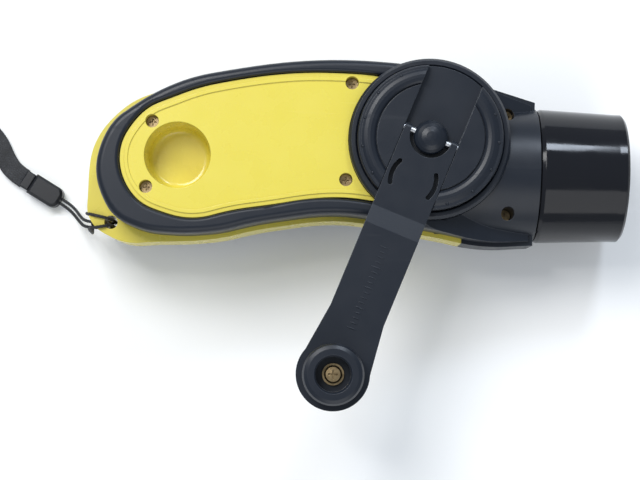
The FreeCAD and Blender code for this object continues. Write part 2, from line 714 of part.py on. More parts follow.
def build_palm_panel():
    """The plain panel under the fingers, with the long bulge that carries on from the neck."""
    g = grip_sizes()
    plate = slab(panel, g["seat"], g["face"])
    plan = slab(panel, g["seat"], 2 * g["crest"])
    bulge_end = 76.0
    bulge = level(amount("neck_radius"), 40, bulge_end).fuse(Part.makeSphere(
        amount("neck_radius"), Vector(-bulge_end, 0, 0)))
    bulge = bulge.common(plan)
    shape = plate.fuse([bulge, raised_line(g["seat"], g["face"] + amount("lip_height"))])
    rotor = rotor_axis()
    shape = shape.fuse(drum(2.6, 15.3, g["seat"] + 0.5, rotor))
    shape = shape.cut(drum(amount("rotor_shaft_radius + running_gap"), 15, 16.6, rotor))
    for at in board_posts():
        shape = shape.fuse(drum(BOARD_POST, BOARD_BACK, g["seat"] + 0.5, at))
    return feature("palm_panel", mirrored(tidied(shape)))


def build_crank_cover():
    """The cover on the crank side, with the round pocket that takes the folded knob."""
    g = grip_sizes()
    shape = slab(panel, g["seat"], g["face"])
    shape = shape.fuse(raised_line(g["seat"], g["face"] + amount("lip_height")))
    mouth = amount("pocket_radius")
    floor = g["face"] - amount("pocket_depth")
    wall = amount("pocket_wall")
    taper = amount("pocket_taper")
    cup = Part.makeCone(mouth - taper + wall, mouth + wall, g["face"] - floor + wall,
                        Vector(pocket_axis.x, pocket_axis.y, floor - wall))
    bore = Part.makeCone(mouth - taper, mouth, g["face"] - floor,
                         Vector(pocket_axis.x, pocket_axis.y, floor))
    bore = bore.makeFillet(amount("pocket_round"), [edge for edge in bore.Edges if edge.BoundBox.ZMax < floor + 0.1])
    above = drum(mouth, g["face"], g["face"] + 3, pocket_axis)
    posts = [drum(amount("boss_radius") + 0.7, 14.0, g["seat"], spot(*screw)) for screw in COVER_SCREWS]
    shape = shape.fuse([cup] + posts)
    shape = shape.cut(bore).cut(above)
    for screw in COVER_SCREWS:
        shape = shape.cut(drum(amount("screw_hole"), 15.2, 30, spot(*screw)))
        shape = shape.cut(drum(amount("screw_shank") + 0.15, 13, 16, spot(*screw)))
    shape = shape.cut(drum(amount("base_radius") + 0.2, 0, 30, crank_axis))
    return feature("crank_cover", tidied(shape))


def screw_shape(at, seat, tip):
    """A case screw: a flat round head with a cross recess, over a plain shank."""
    head = amount("screw_head")
    shape = drum(head, seat, seat + 1.3, at).fuse(drum(amount("screw_shank"), tip, seat, at))
    for along, across in ((1.1, 0.22), (0.22, 1.1)):
        shape = shape.cut(block(
            (at.x - along, at.y - across, seat + 0.6), (at.x + along, at.y + across, seat + 2)))
    return shape


def build_screws():
    cover = [screw_shape(spot(*screw), 15.2, 7.5) for screw in COVER_SCREWS]
    feature("cover_screws", Part.makeCompound(cover))
    neck = [screw_shape(spot(*screw), 5.0, -7.5) for screw in NECK_SCREWS]
    feature("neck_screws", Part.makeCompound(neck))


# Crank


def build_crank():
    """The collar on the grip, the disc that turns in it and the folding arm with its knob."""
    keep("crank_collar", turned("crank_collar", [
        ("shaft_radius + running_gap", "base_bottom + 1"),
        ("shaft_radius + 3", "base_bottom + 1"),
        ("shaft_radius + 3", "base_floor - 2"),
        ("base_radius - 6.4", "base_floor - 2"),
        ("base_radius - 6.4", "base_bottom + 2.2"),
        ("base_radius - 4.4", "base_bottom"),
        ("base_radius", "base_bottom"),
        ("base_radius", "base_top - 1"),
        ("base_radius - 0.8", "base_top"),
        ("disc_radius + 0.7", "base_top"),
        ("disc_radius + 0.3", "base_top - 0.4"),
        ("disc_radius + 0.3", "base_floor"),
        ("shaft_radius + running_gap", "base_floor"),
    ], at=CRANK_AT))
    disc = turned("disc_blank", [
        ("shaft_radius + seat_gap", "disc_bottom"),
        ("disc_radius", "disc_bottom"),
        ("disc_radius", "disc_top - 0.9"),
        ("disc_radius - 0.4", "disc_top - 0.5"),
        ("disc_radius - 1.2", "disc_top - 0.5"),
        ("disc_radius - 2", "disc_top - 0.05"),
        ("disc_radius - 3", "disc_top + 0.3"),
        ("disc_radius - 4", "disc_top + 0.3"),
        ("disc_radius - 5", "disc_top"),
        ("disc_radius - 5.7", "disc_top - 0.5"),
        ("disc_radius - 5.8", "disc_top - 1"),
        ("disc_radius - 6.2", "disc_top - 1"),
        ("disc_radius - 6.2", "disc_top"),
        ("shaft_radius + seat_gap", "disc_top"),
    ], at=CRANK_AT)
    half = "disc_radius + 2"
    channel = prism("channel", [
        (f"-({half})", "-arm_width / 2 - channel_gap"),
        (half, "-arm_width / 2 - channel_gap"),
        (half, "arm_width / 2 + channel_gap"),
        (f"-({half})", "arm_width / 2 + channel_gap"),
    ], "6", at=("-crank_station", "crank_across", "hinge_height - arm_thickness / 2 - channel_gap"),
        turn=amount("arm_angle"))
    keep("crank_disc", less("crank_disc", disc, [channel, hinge_rod("pin_hole", "0.02", 16.2)]))
    keep("hinge_pin", hinge_rod("hinge_pin", "0", 15.9))
    channel_floor = "hinge_height - arm_thickness / 2 - channel_gap"
    cap = turned("cap_dome", [
        ("0", f"{channel_floor} + 0.05"),
        ("cap_radius", f"{channel_floor} + 0.05"),
        ("cap_radius", "hinge_height + 0.5"),
        ("cap_radius * 0.94", "hinge_height + 1.3"),
        ("cap_radius * 0.78", "hinge_height + 2.1"),
        ("cap_radius * 0.55", "hinge_height + 2.8"),
        ("cap_radius * 0.28", "hinge_height + 3.2"),
        ("0", "hinge_height + 3.3"),
    ], at=CRANK_AT)
    keep("centre_cap", less("centre_cap", cap, [hinge_rod("cap_pin_hole", "0.02", 8)]))
    keep("crank_shaft", turned("crank_shaft", [
        ("0", "-1.9"),
        ("shaft_radius - 1", "-1.9"),
        ("shaft_radius - 1", "0.3"),
        ("shaft_radius + 1.6", "0.3"),
        ("shaft_radius + 1.6", "2.9"),
        ("shaft_radius", "2.9"),
        ("shaft_radius", f"{channel_floor} - 0.4"),
        ("0", f"{channel_floor} - 0.4"),
    ], at=CRANK_AT))
    feature("crank_arm", arm_shape())
    knob_at = from_crank(amount("arm_reach"), amount("arm_angle"))
    knob_place = (f"{knob_at.x:.6f}", f"{knob_at.y:.6f}", "hinge_height + arm_thickness / 2 + arm_step")
    keep("knob", turned("knob", [
        ("knob_post_radius + running_gap", "knob_lift"),
        ("knob_radius - 1.2", "knob_lift"),
        ("knob_radius", "knob_lift + 1.2"),
        ("knob_radius", "knob_lift + knob_height - 1.6"),
        ("knob_radius - 0.6", "knob_lift + knob_height - 0.5"),
        ("knob_radius - 1.7", "knob_lift + knob_height"),
        ("knob_recess_radius + 0.5", "knob_lift + knob_height"),
        ("knob_recess_radius", "knob_lift + knob_height - 0.5"),
        ("knob_recess_radius", "knob_lift + knob_height - knob_recess_depth"),
        ("knob_post_radius + running_gap", "knob_lift + knob_height - knob_recess_depth"),
    ], at=knob_place))
    washer_low = "knob_lift + knob_height - knob_recess_depth + 0.2"
    keep("knob_washer", turned("knob_washer", [
        ("knob_post_radius + seat_gap", washer_low),
        ("knob_post_radius + 1.45", washer_low),
        ("knob_post_radius + 1.45", f"{washer_low} + 0.8"),
        ("knob_post_radius + seat_gap", f"{washer_low} + 0.8"),
    ], at=knob_place))
    screw = turned("knob_screw_blank", [
        ("0", "-arm_thickness"),
        ("knob_post_radius", "-arm_thickness"),
        ("knob_post_radius", f"{washer_low} + 0.8"),
        ("knob_post_radius + 0.8", f"{washer_low} + 0.8"),
        ("knob_post_radius + 0.8", f"{washer_low} + 1.7"),
        ("knob_post_radius + 0.3", f"{washer_low} + 2.2"),
        ("0", f"{washer_low} + 2.4"),
    ], at=knob_place)
    crosses = []
    for i, (along, across) in enumerate((("1.5", "0.28"), ("0.28", "1.5"))):
        crosses.append(prism(f"knob_screw_slot_{i + 1}", [
            (f"-{along}", f"-{across}"), (along, f"-{across}"), (along, across), (f"-{along}", across),
        ], "3", at=(knob_place[0], knob_place[1], f"{knob_place[2]} + {washer_low} + 1.3"),
            turn=amount("arm_angle") + 20))
    keep("knob_screw", less("knob_screw", screw, crosses))


def hinge_rod(name, gap, reach):
    """A round bar on the fold axis, as the pin or as the hole for it."""
    bar = doc.addObject("Part::Cylinder", name)
    bar.setExpression("Radius", bound(f"hinge_pin_radius + {gap}"))
    bar.Height = 2 * reach
    side = math.radians(amount("arm_angle") + 90)
    aim = Vector(math.cos(side), math.sin(side), 0)
    start = crank_axis - aim * reach + Vector(0, 0, amount("hinge_height"))
    bar.Placement = Placement(start, Rotation(Vector(0, 0, 1), aim))
    return bar


def arm_shape():
    """The folding arm, drawn along X from the fold axis and then turned to its place."""
    half = amount("arm_thickness") / 2
    rise = amount("arm_step")
    first = amount("arm_step_start")
    second = first + amount("arm_step_length")
    reach = amount("arm_reach")
    end = reach + amount("arm_end_radius")
    width = amount("arm_width")
    lip = half - 0.05
    side = [
        (0, -half), (first + 0.6, -half), (second + 0.6, rise - half), (end, rise - half),
        (end, rise + half), (second - 0.6, rise + half), (first - 0.6, half), (0, half),
    ]
    edges = [Vector(x, 0, z) for x, z in side]
    wire = Part.Wire([
        Part.makePolygon(edges),
        Part.Arc(edges[-1], Vector(-half, 0, 0), edges[0]).toShape(),
    ])
    bar = Part.Face(wire).extrude(Vector(0, 40, 0))
    bar.translate(Vector(0, -20, 0))
    plan = block((-3, -width / 2, -5), (reach, width / 2, 8)).fuse(
        drum(amount("arm_end_radius"), -5, 8, Vector(reach, 0, 0)))
    flare = Part.makePolygon([
        Vector(reach - 20, -width / 2, -5), Vector(reach - 4, -amount("arm_end_radius") + 0.7, -5),
        Vector(reach - 4, amount("arm_end_radius") - 0.7, -5), Vector(reach - 20, width / 2, -5),
        Vector(reach - 20, -width / 2, -5),
    ])
    plan = plan.fuse(Part.Face(flare).extrude(Vector(0, 0, 13)))
    shape = bar.common(plan)
    notch = amount("cap_notch")
    shape = shape.cut(drum(notch, -5, 5).fuse(block((-5, -notch, -5), (0, notch, 5))))
    pin = Part.makeCylinder(amount("hinge_pin_radius + running_gap"), 40, Vector(0, -20, 0), Vector(0, 1, 0))
    shape = shape.cut(pin)
    shape = shape.cut(drum(amount("knob_post_radius + seat_gap"), -5, 8, Vector(reach, 0, 0)))
    for sign in (-1, 1):
        shape = shape.cut(curved_slot(sign))
    shape.rotate(Vector(), Vector(0, 0, 1), amount("arm_angle"))
    shape.translate(crank_axis + Vector(0, 0, amount("hinge_height")))
    return tidied(shape)


def curved_slot(sign):
    """One of the two narrow curved slots through the arm, bowed outwards."""
    start = Vector(10.8, 6.2 * sign, -5)
    middle = Vector(14.4, 7.2 * sign, -5)
    end = Vector(18.4, 6.5 * sign, -5)
    circle = Part.Arc(start, middle, end).toShape().Curve
    centre = circle.Center
    radius = circle.Radius
    half = 0.75
    wall = Part.makeCylinder(radius + half, 10, centre).cut(Part.makeCylinder(radius - half, 10, centre))
    corner = [centre, centre + (start - centre) * 3, centre + (middle - centre) * 4,
              centre + (end - centre) * 3, centre]
    wedge = Part.Face(Part.makePolygon(corner)).extrude(Vector(0, 0, 10))
    ends = [Part.makeCylinder(half, 10, point) for point in (start, end)]
    return wall.common(wedge).fuse(ends)


# Gears and generator


def pair_distance(pair, tooth_size):
    return tooth_size * sum(pair) / 2


def idler_axis():
    return crank_axis - Vector(pair_distance(FIRST_PAIR, amount("tooth_module")), 0, 0)


def rotor_axis():
    return idler_axis() - Vector(pair_distance(SECOND_PAIR, amount("fine_module")), 0, 0)


def involute_point(base, radius, lean):
    """A point of an involute of a base circle, at a radius, turned by an angle."""
    roll = math.sqrt(max((radius / base) ** 2 - 1, 0))
    angle = roll - math.atan(roll) + lean
    return Vector(radius * math.cos(angle), radius * math.sin(angle), 0)


def gear(count, tooth_size, low, high, phase):
    """A spur gear with involute teeth, one of them centred on the phase angle."""
    pitch = count * tooth_size / 2
    base = pitch * math.cos(PRESSURE_ANGLE)
    tip = pitch + 0.92 * tooth_size
    root = pitch - 1.2 * tooth_size
    roll = math.tan(PRESSURE_ANGLE) - PRESSURE_ANGLE
    half_tooth = math.pi / (2 * count) - BACKLASH / (2 * pitch)
    start = max(base, root)
    radii = [start + (tip - start) * i / 3 for i in range(4)]
    edges = []
    previous = None
    first = None
    for tooth in range(count):
        middle = phase + 2 * math.pi * tooth / count
        rising = [involute_point(base, r, -half_tooth - roll) for r in radii]
        turn = Rotation(Vector(0, 0, 1), math.degrees(middle))
        flank = [turn.multVec(p) for p in rising]
        other = [turn.multVec(Vector(p.x, -p.y, 0)) for p in rising]
        foot_angle = math.atan2(rising[0].y, rising[0].x)
        foot = turn.multVec(Vector(root * math.cos(foot_angle), root * math.sin(foot_angle), 0))
        far_foot = turn.multVec(Vector(root * math.cos(foot_angle), -root * math.sin(foot_angle), 0))
        if previous is not None:
            edges.append(Part.LineSegment(previous, foot).toShape())
        else:
            first = foot
        if start > root + 1e-6:
            edges.append(Part.LineSegment(foot, flank[0]).toShape())
        up = Part.BSplineCurve()
        up.interpolate(flank)
        edges.append(up.toShape())
        edges.append(Part.LineSegment(flank[-1], other[-1]).toShape())
        down = Part.BSplineCurve()
        down.interpolate(other[::-1])
        edges.append(down.toShape())
        if start > root + 1e-6:
            edges.append(Part.LineSegment(other[0], far_foot).toShape())
        previous = far_foot
    edges.append(Part.LineSegment(previous, first).toShape())
    face = Part.Face(Part.Wire(edges))
    return slab(face, low, high)


def build_gears():
    """Crank gear, middle gear, generator and the two plates that carry them."""
    coarse = amount("tooth_module")
    fine = amount("fine_module")
    fit = amount("seat_gap")
    run = amount("running_gap")
    drive = gear(FIRST_PAIR[0], coarse, 3.0, 6.0, math.pi)
    drive = drive.cut(drum(amount("shaft_radius") + fit, 0, 10))
    for i in range(6):
        drive = drive.cut(drum(3.2, 0, 10, Rotation(Vector(0, 0, 1), 60 * i + 30).multVec(Vector(11, 0, 0))))
    drive.translate(crank_axis)
    feature("drive_gear", drive)
    small = gear(FIRST_PAIR[1], coarse, 2.6, 7.4, math.pi / FIRST_PAIR[1])
    large = gear(SECOND_PAIR[0], fine, 7.4, 10.2, math.pi)
    idler = small.fuse(large).cut(drum(amount("axle_radius") + run, 0, 20))
    idler.translate(idler_axis())
    feature("idler_gear", idler)
    pinion = gear(SECOND_PAIR[1], fine, 7.0, 10.3, math.pi / SECOND_PAIR[1])
    pinion = pinion.cut(drum(amount("rotor_shaft_radius") + 0.01, 0, 20))
    pinion.translate(rotor_axis())
    feature("rotor_pinion", pinion)
    idler_at = [f"{v:.6f}" for v in idler_axis()[:2]]
    rotor_at = [f"{v:.6f}" for v in rotor_axis()[:2]]
    keep("idler_axle", rod("idler_axle", "axle_radius", "base_bottom + 1.8", (*idler_at, "-2")))
    keep("rotor_shaft", rod("rotor_shaft", "rotor_shaft_radius", "base_bottom + 16.5", (*rotor_at, "-16.3")))
    keep("rotor_magnet", turned("rotor_magnet", [
        ("rotor_shaft_radius + 0.01", "-14.5"),
        ("magnet_radius", "-14.5"),
        ("magnet_radius", "-4.5"),
        ("rotor_shaft_radius + 0.01", "-4.5"),
    ], at=(*rotor_at, "0")))
    keep("stator_lower", turned("stator_lower", [
        ("stator_bore", "-17.4"),
        ("stator_radius", "-17.4"),
        ("stator_radius", "-9.9"),
        ("stator_radius - 1.2", "-9.9"),
        ("stator_radius - 1.2", "-16.2"),
        ("stator_bore", "-16.2"),
    ], at=(*rotor_at, "0")))
    keep("stator_upper", turned("stator_upper", [
        ("stator_bore", "-2.3"),
        ("stator_bore", "-3.5"),
        ("stator_radius - 1.2", "-3.5"),
        ("stator_radius - 1.2", "-9.8"),
        ("stator_radius", "-9.8"),
        ("stator_radius", "-2.3"),
    ], at=(*rotor_at, "0")))
    keep("stator_coil", turned("stator_coil", [
        ("stator_bore + 0.4", "-16"),
        ("stator_radius - 1.4", "-16"),
        ("stator_radius - 1.4", "-3.7"),
        ("stator_bore + 0.4", "-3.7"),
    ], at=(*rotor_at, "0")))
    build_gear_plates()


def build_gear_plates():
    """The plate across the grip that carries the axles, and the bridge over the small gears."""
    g = grip_sizes()
    run = amount("running_gap")
    fit = amount("seat_gap")
    plate = slab(offset(band, -amount("band_wall") - 0.25), -2, 0)
    tail = -rotor_axis().x + 16
    plate = plate.common(block((-tail, -g["wide"], -3), (-g["start"] - 3, g["wide"], 3)))
    plate = plate.cut(drum(amount("shaft_radius") - 1 + run, -3, 3, crank_axis))
    plate = plate.cut(drum(amount("axle_radius") + fit, -3, 3, idler_axis()))
    plate = plate.cut(drum(amount("rotor_shaft_radius") + run, -3, 3, rotor_axis()))
    feature("gear_plate", plate)
    far = rotor_axis() - Vector(9, 0, 0)
    top, under = amount("base_bottom") - 0.15, 10.5
    bridge = drum(4, under, top, idler_axis()).fuse([
        drum(4, under, top, far),
        block((far.x, far.y - 4, under), (idler_axis().x, far.y + 4, top)),
        drum(3, 0, under, far),
    ])
    bridge = bridge.cut(drum(amount("axle_radius") + fit, 0, 20, idler_axis()))
    bridge = bridge.cut(drum(amount("rotor_shaft_radius") + run, 0, 20, rotor_axis()))
    feature("gear_bridge", tidied(bridge))


# Distance of the circuit board's back from the middle plane, and the radius of its posts.
BOARD_BACK = 13.4
BOARD_POST = 2.2


def board_posts():
    return [crank_axis + Vector(-12, 6, 0), crank_axis + Vector(12, -6, 0)]


def build_electrics():
    """Circuit board, storage cells and what they carry."""
    keep("circuit_board", prism("circuit_board", [
        ("-16", "-11"), ("16", "-11"), ("16", "11"), ("-16", "11"),
    ], "1.6", at=("-crank_station", "crank_across", f"{-BOARD_BACK}")))
    board_top = f"{-BOARD_BACK + 1.6}"
    keep("rectifier_chip", prism("rectifier_chip", [
        ("-4", "-2.6"), ("4", "-2.6"), ("4", "2.6"), ("-4", "2.6"),
    ], "2.2", at=("-crank_station - 6", "crank_across + 5", board_top)))
    keep("smoothing_capacitor", rod("smoothing_capacitor", "4", "8.6",
                                    ("-crank_station + 7", "crank_across - 2", board_top)))
    wall = 0.6
    start = 126.5
    length = 3 * amount("cell_length")
    centre = -(amount("panel_seat") - 0.25 - amount("cell_radius") - 0.2 - wall)
    for i in range(3):
        keep(f"storage_cell_{i + 1}", rod(
            f"storage_cell_{i + 1}", "cell_radius", "cell_length - 0.1",
            (f"-{start} - cell_length * {i + 1}", "2", f"{centre:.6f}"), "X"))
    inside = Part.makeCylinder(
        amount("cell_radius") + 0.2, length + 0.4, Vector(-start - length - 0.2, 2, centre), Vector(1, 0, 0))
    outside = Part.makeCylinder(
        amount("cell_radius") + 0.2 + wall, length + 1.6, Vector(-start - length - 0.8, 2, centre),
        Vector(1, 0, 0))
    feature("cell_sleeve", outside.cut(inside))


# Lanyard. The grip lies on its palm side, so the surface under it is as low as the neck.


def cord_wire(points, tight=()):
    """Straight runs joined by tangent arcs, each as large as its two runs allow, or one wrap of an edge."""
    edges = []
    radii = []
    at = points[0]
    for i in range(1, len(points) - 1):
        before = points[i] - points[i - 1]
        after = points[i + 1] - points[i]
        turn = before.getAngle(after)
        radius = 0.45 * min(before.Length, after.Length) / math.tan(turn / 2)
        if i in tight:
            radius = min(radius, EDGE_WRAP)
        cut = radius * math.tan(turn / 2)
        into = before / before.Length
        out = after / after.Length
        inwards = (out - into) / (out - into).Length
        middle = points[i] + inwards * (radius / math.cos(turn / 2) - radius)
        start = points[i] - into * cut
        end = points[i] + out * cut
        edges.append(Part.LineSegment(at, start).toShape())
        edges.append(Part.Arc(start, middle, end).toShape())
        radii.append(round(radius, 1))
        at = end
    edges.append(Part.LineSegment(at, points[-1]).toShape())
    return Part.Wire(edges), radii


# Radius of the string where it turns over an edge of the grip.
EDGE_WRAP = 1.6
SURFACE = -amount("neck_radius")
NOSE = Vector(-189.6, -10.9, SURFACE + 2.7)
NOSE_AIM = Vector(-0.863, 0.504, 0)
NOSE_SIDE = Vector(0.504, 0.863, 0)

# The string, from the connector through the hitch in the tail corner and back.
STRING_POINTS = [
    NOSE + NOSE_SIDE * 0.8,
    Vector(-186.6, -11.7, SURFACE + 2.5),
    Vector(-184.0, -13.9, SURFACE + 4.2),
    Vector(-182.0, -16.2, SURFACE + 8.0),
    Vector(-179.8, -18.2, -10.4),
    Vector(-175.4, -18.9, -9.0),
    Vector(-168.3, -19.0, -9.0),
    Vector(-168.1, -18.9, 0.2),
    Vector(-168.3, -18.9, 9.0),
    Vector(-176.5, -17.2, 9.0),
    Vector(-176.9, -16.8, 1.0),
    Vector(-177.1, -16.8, -6.6),
    Vector(-177.2, -16.9, -11.6),
    Vector(-176.9, -22.3, -11.6),
    Vector(-176.4, -22.4, -6.6),
    Vector(-175.9, -22.4, 1.0),
    Vector(-175.5, -22.2, 9.0),
    Vector(-168.3, -20.9, 9.0),
    Vector(-168.1, -20.9, 0.2),
    Vector(-168.3, -20.8, -9.0),
    Vector(-175.4, -20.6, -9.0),
    Vector(-179.9, -20.2, -11.0),
    Vector(-182.4, -18.0, SURFACE + 6.0),
    Vector(-184.8, -15.4, SURFACE + 2.2),
    Vector(-187.4, -13.1, SURFACE + 1.6),
    NOSE - NOSE_SIDE * 0.8,
]
STRING_WRAPS = (6, 8, 9, 12, 13, 16, 17, 19)

# The strap's stem, from the connector to where its two runs part.
STEM_POINTS = [
    (-202.61, -3.31), (-206.34, -1.12), (-209.4, 3.2), (-212.0, 9.0), (-216.4, 13.8), (-223.0, 16.6),
]
LOOP_RADIUS = 34.0
PART_RADIUS = 20.0


def strap_points():
    """Along the stem, round one wide loop and back to the stem, on top of the first run."""
    low = SURFACE + amount("strap_thickness") / 2
    step = amount("strap_thickness") + 0.3
    part = Vector(*STEM_POINTS[-1], low)
    away = math.sqrt((LOOP_RADIUS + PART_RADIUS) ** 2 - PART_RADIUS ** 2)
    first = math.asin(PART_RADIUS / (LOOP_RADIUS + PART_RADIUS))
    centre = part + Vector(-away - 6, 3, 0)
    points = [Vector(x, y, low) for x, y in STEM_POINTS]
    points.append(part + Vector(-9.6, 4.6, 0))
    steps = 9
    for i in range(steps + 1):
        turn = first + (2 * math.pi - 2 * first) * i / steps
        points.append(centre + Vector(math.cos(turn), math.sin(turn), 0) * LOOP_RADIUS)
    points.append(part + Vector(-12.4, -2.6, step))
    points += [Vector(x, y, low + step) for x, y in STEM_POINTS[::-1]]
    return points


def least_gap(wire, thickness, apart):
    """Least distance of a cord to itself, between places further apart along it than a given length."""
    count = int(wire.Length)
    places = wire.discretize(Number=count)
    best = min((places[i] - places[j]).Length
               for i in range(count) for j in range(i + int(apart), count))
    return best - thickness


def build_lanyard():
    """String, connector and wrist strap, lying behind the tail."""
    radius = amount("cord_radius")
    wire, radii = cord_wire(STRING_POINTS, STRING_WRAPS)
    section = Part.Wire(Part.makeCircle(radius, STRING_POINTS[0], STRING_POINTS[1] - STRING_POINTS[0]))
    string = wire.makePipeShell([section], True, False, 1)
    share = string.Volume / (wire.Length * math.pi * radius ** 2)
    print(f"string: length {wire.Length:.1f}, gap to itself {least_gap(wire, 2 * radius, 5):.2f}, "
          f"volume share {share:.3f}, radii {radii}")
    feature("lanyard_string", string)
    feature("connector_body", connector_block(0, 11.4, 7.4, 5.2, 2.6))
    feature("connector_ferrule", connector_block(11.45, 15.0, 6.2, 4.2, 0.5))
    points = strap_points()
    wire, radii = cord_wire(points)
    half = amount("strap_width") / 2
    rise = amount("strap_thickness") / 2
    across = (points[1] - points[0]).cross(Vector(0, 0, 1)).normalize()
    corners = [
        points[0] + across * half - Vector(0, 0, rise), points[0] + across * half + Vector(0, 0, rise),
        points[0] - across * half + Vector(0, 0, rise), points[0] - across * half - Vector(0, 0, rise),
    ]
    sweep = Part.BRepOffsetAPI.MakePipeShell(wire)
    sweep.setBiNormalMode(Vector(0, 0, 1))
    sweep.add(Part.makePolygon(corners + corners[:1]))
    sweep.build()
    sweep.makeSolid()
    strap = sweep.shape()
    share = strap.Volume / (wire.Length * amount("strap_width") * amount("strap_thickness"))
    print(f"strap: length {wire.Length:.1f}, volume share {share:.3f}, radii {radii}")
    feature("lanyard_strap", strap)


def connector_block(start, end, width, tall, round_by):
    """A stretch of the lanyard connector, flat underneath, with its upright edges rounded."""
    shape = Part.makeBox(end - start, width, tall, Vector(start, -width / 2, 0))
    upright = [edge for edge in shape.Edges
               if edge.BoundBox.ZLength > tall - 0.1 and (start > 0 or edge.BoundBox.XMax < 0.1)]
    shape = shape.makeFillet(round_by, upright)
    top = [edge for edge in shape.Edges if edge.BoundBox.ZMin > tall - 0.01]
    shape = shape.makeChamfer(0.9 if start == 0 else 0.4, top)
    shape.rotate(Vector(), Vector(0, 0, 1), math.degrees(math.atan2(NOSE_AIM.y, NOSE_AIM.x)))
    shape.translate(Vector(NOSE.x, NOSE.y, SURFACE) + NOSE_AIM * 0.05)
    return shape


build_head()
build_neck()
build_frame("crank")
build_frame("palm")
build_shell("crank")
build_shell("palm")
build_palm_panel()
build_crank_cover()
build_screws()
build_crank()
build_gears()
build_electrics()
build_lanyard()
doc.recompute()

for thing in doc.Objects:
    if {"Invalid", "Error"} & set(thing.State):
        raise SystemExit(f"{thing.Name} did not build: {thing.State}")
for name, thing in nodes.items():
    if thing.Shape.isNull() or not thing.Shape.isValid() or not thing.Shape.Solids:
        raise SystemExit(f"{name} has no valid solid")

os.makedirs("parts", exist_ok=True)
for name, thing in nodes.items():
    thing.Shape.exportStep(os.path.join("parts", name + ".step"))
    print(f"{name}: {len(thing.Shape.Solids)} solid, {thing.Shape.Volume:.1f} cubic mm")
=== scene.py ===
import logging
import math
from abc import ABC, abstractmethod
from dataclasses import dataclass, field
from enum import Enum
from typing import Iterable

import bmesh
import bpy
from mathutils import Matrix, Vector
from mathutils.bvhtree import BVHTree


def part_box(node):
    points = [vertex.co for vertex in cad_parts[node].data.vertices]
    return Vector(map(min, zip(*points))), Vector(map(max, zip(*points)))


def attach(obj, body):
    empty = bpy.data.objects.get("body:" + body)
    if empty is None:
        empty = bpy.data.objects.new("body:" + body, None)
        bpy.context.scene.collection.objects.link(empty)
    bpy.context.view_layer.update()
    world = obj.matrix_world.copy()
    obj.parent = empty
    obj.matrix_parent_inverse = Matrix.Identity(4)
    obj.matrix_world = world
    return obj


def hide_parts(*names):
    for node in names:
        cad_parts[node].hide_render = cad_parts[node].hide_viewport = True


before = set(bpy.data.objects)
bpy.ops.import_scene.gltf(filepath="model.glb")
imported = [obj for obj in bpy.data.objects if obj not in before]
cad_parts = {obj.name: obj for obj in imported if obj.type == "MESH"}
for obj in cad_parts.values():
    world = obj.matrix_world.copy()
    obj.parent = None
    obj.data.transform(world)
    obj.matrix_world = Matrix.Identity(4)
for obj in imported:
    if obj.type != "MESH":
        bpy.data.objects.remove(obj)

Colour = tuple[float, float, float]
Socket = bpy.types.NodeSocket

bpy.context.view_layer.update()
MM = 0.001
CLEAR_OF_ALL = 60.0 * MM
log = logging.getLogger("flashlight")


class Body(str, Enum):
    """The bodies that the pieces ride on."""

    GRIP = "grip"
    HEAD = "head"
    CRANK = "crank"
    ARM = "arm"
    KNOB = "knob"
    IDLER = "idler"
    ROTOR = "rotor"


class Grain(Enum):
    """Which way the fine lines of a metal run."""

    UPRIGHT = (1.0, 1.0, 0.05)
    EVEN = (1.0, 1.0, 1.0)


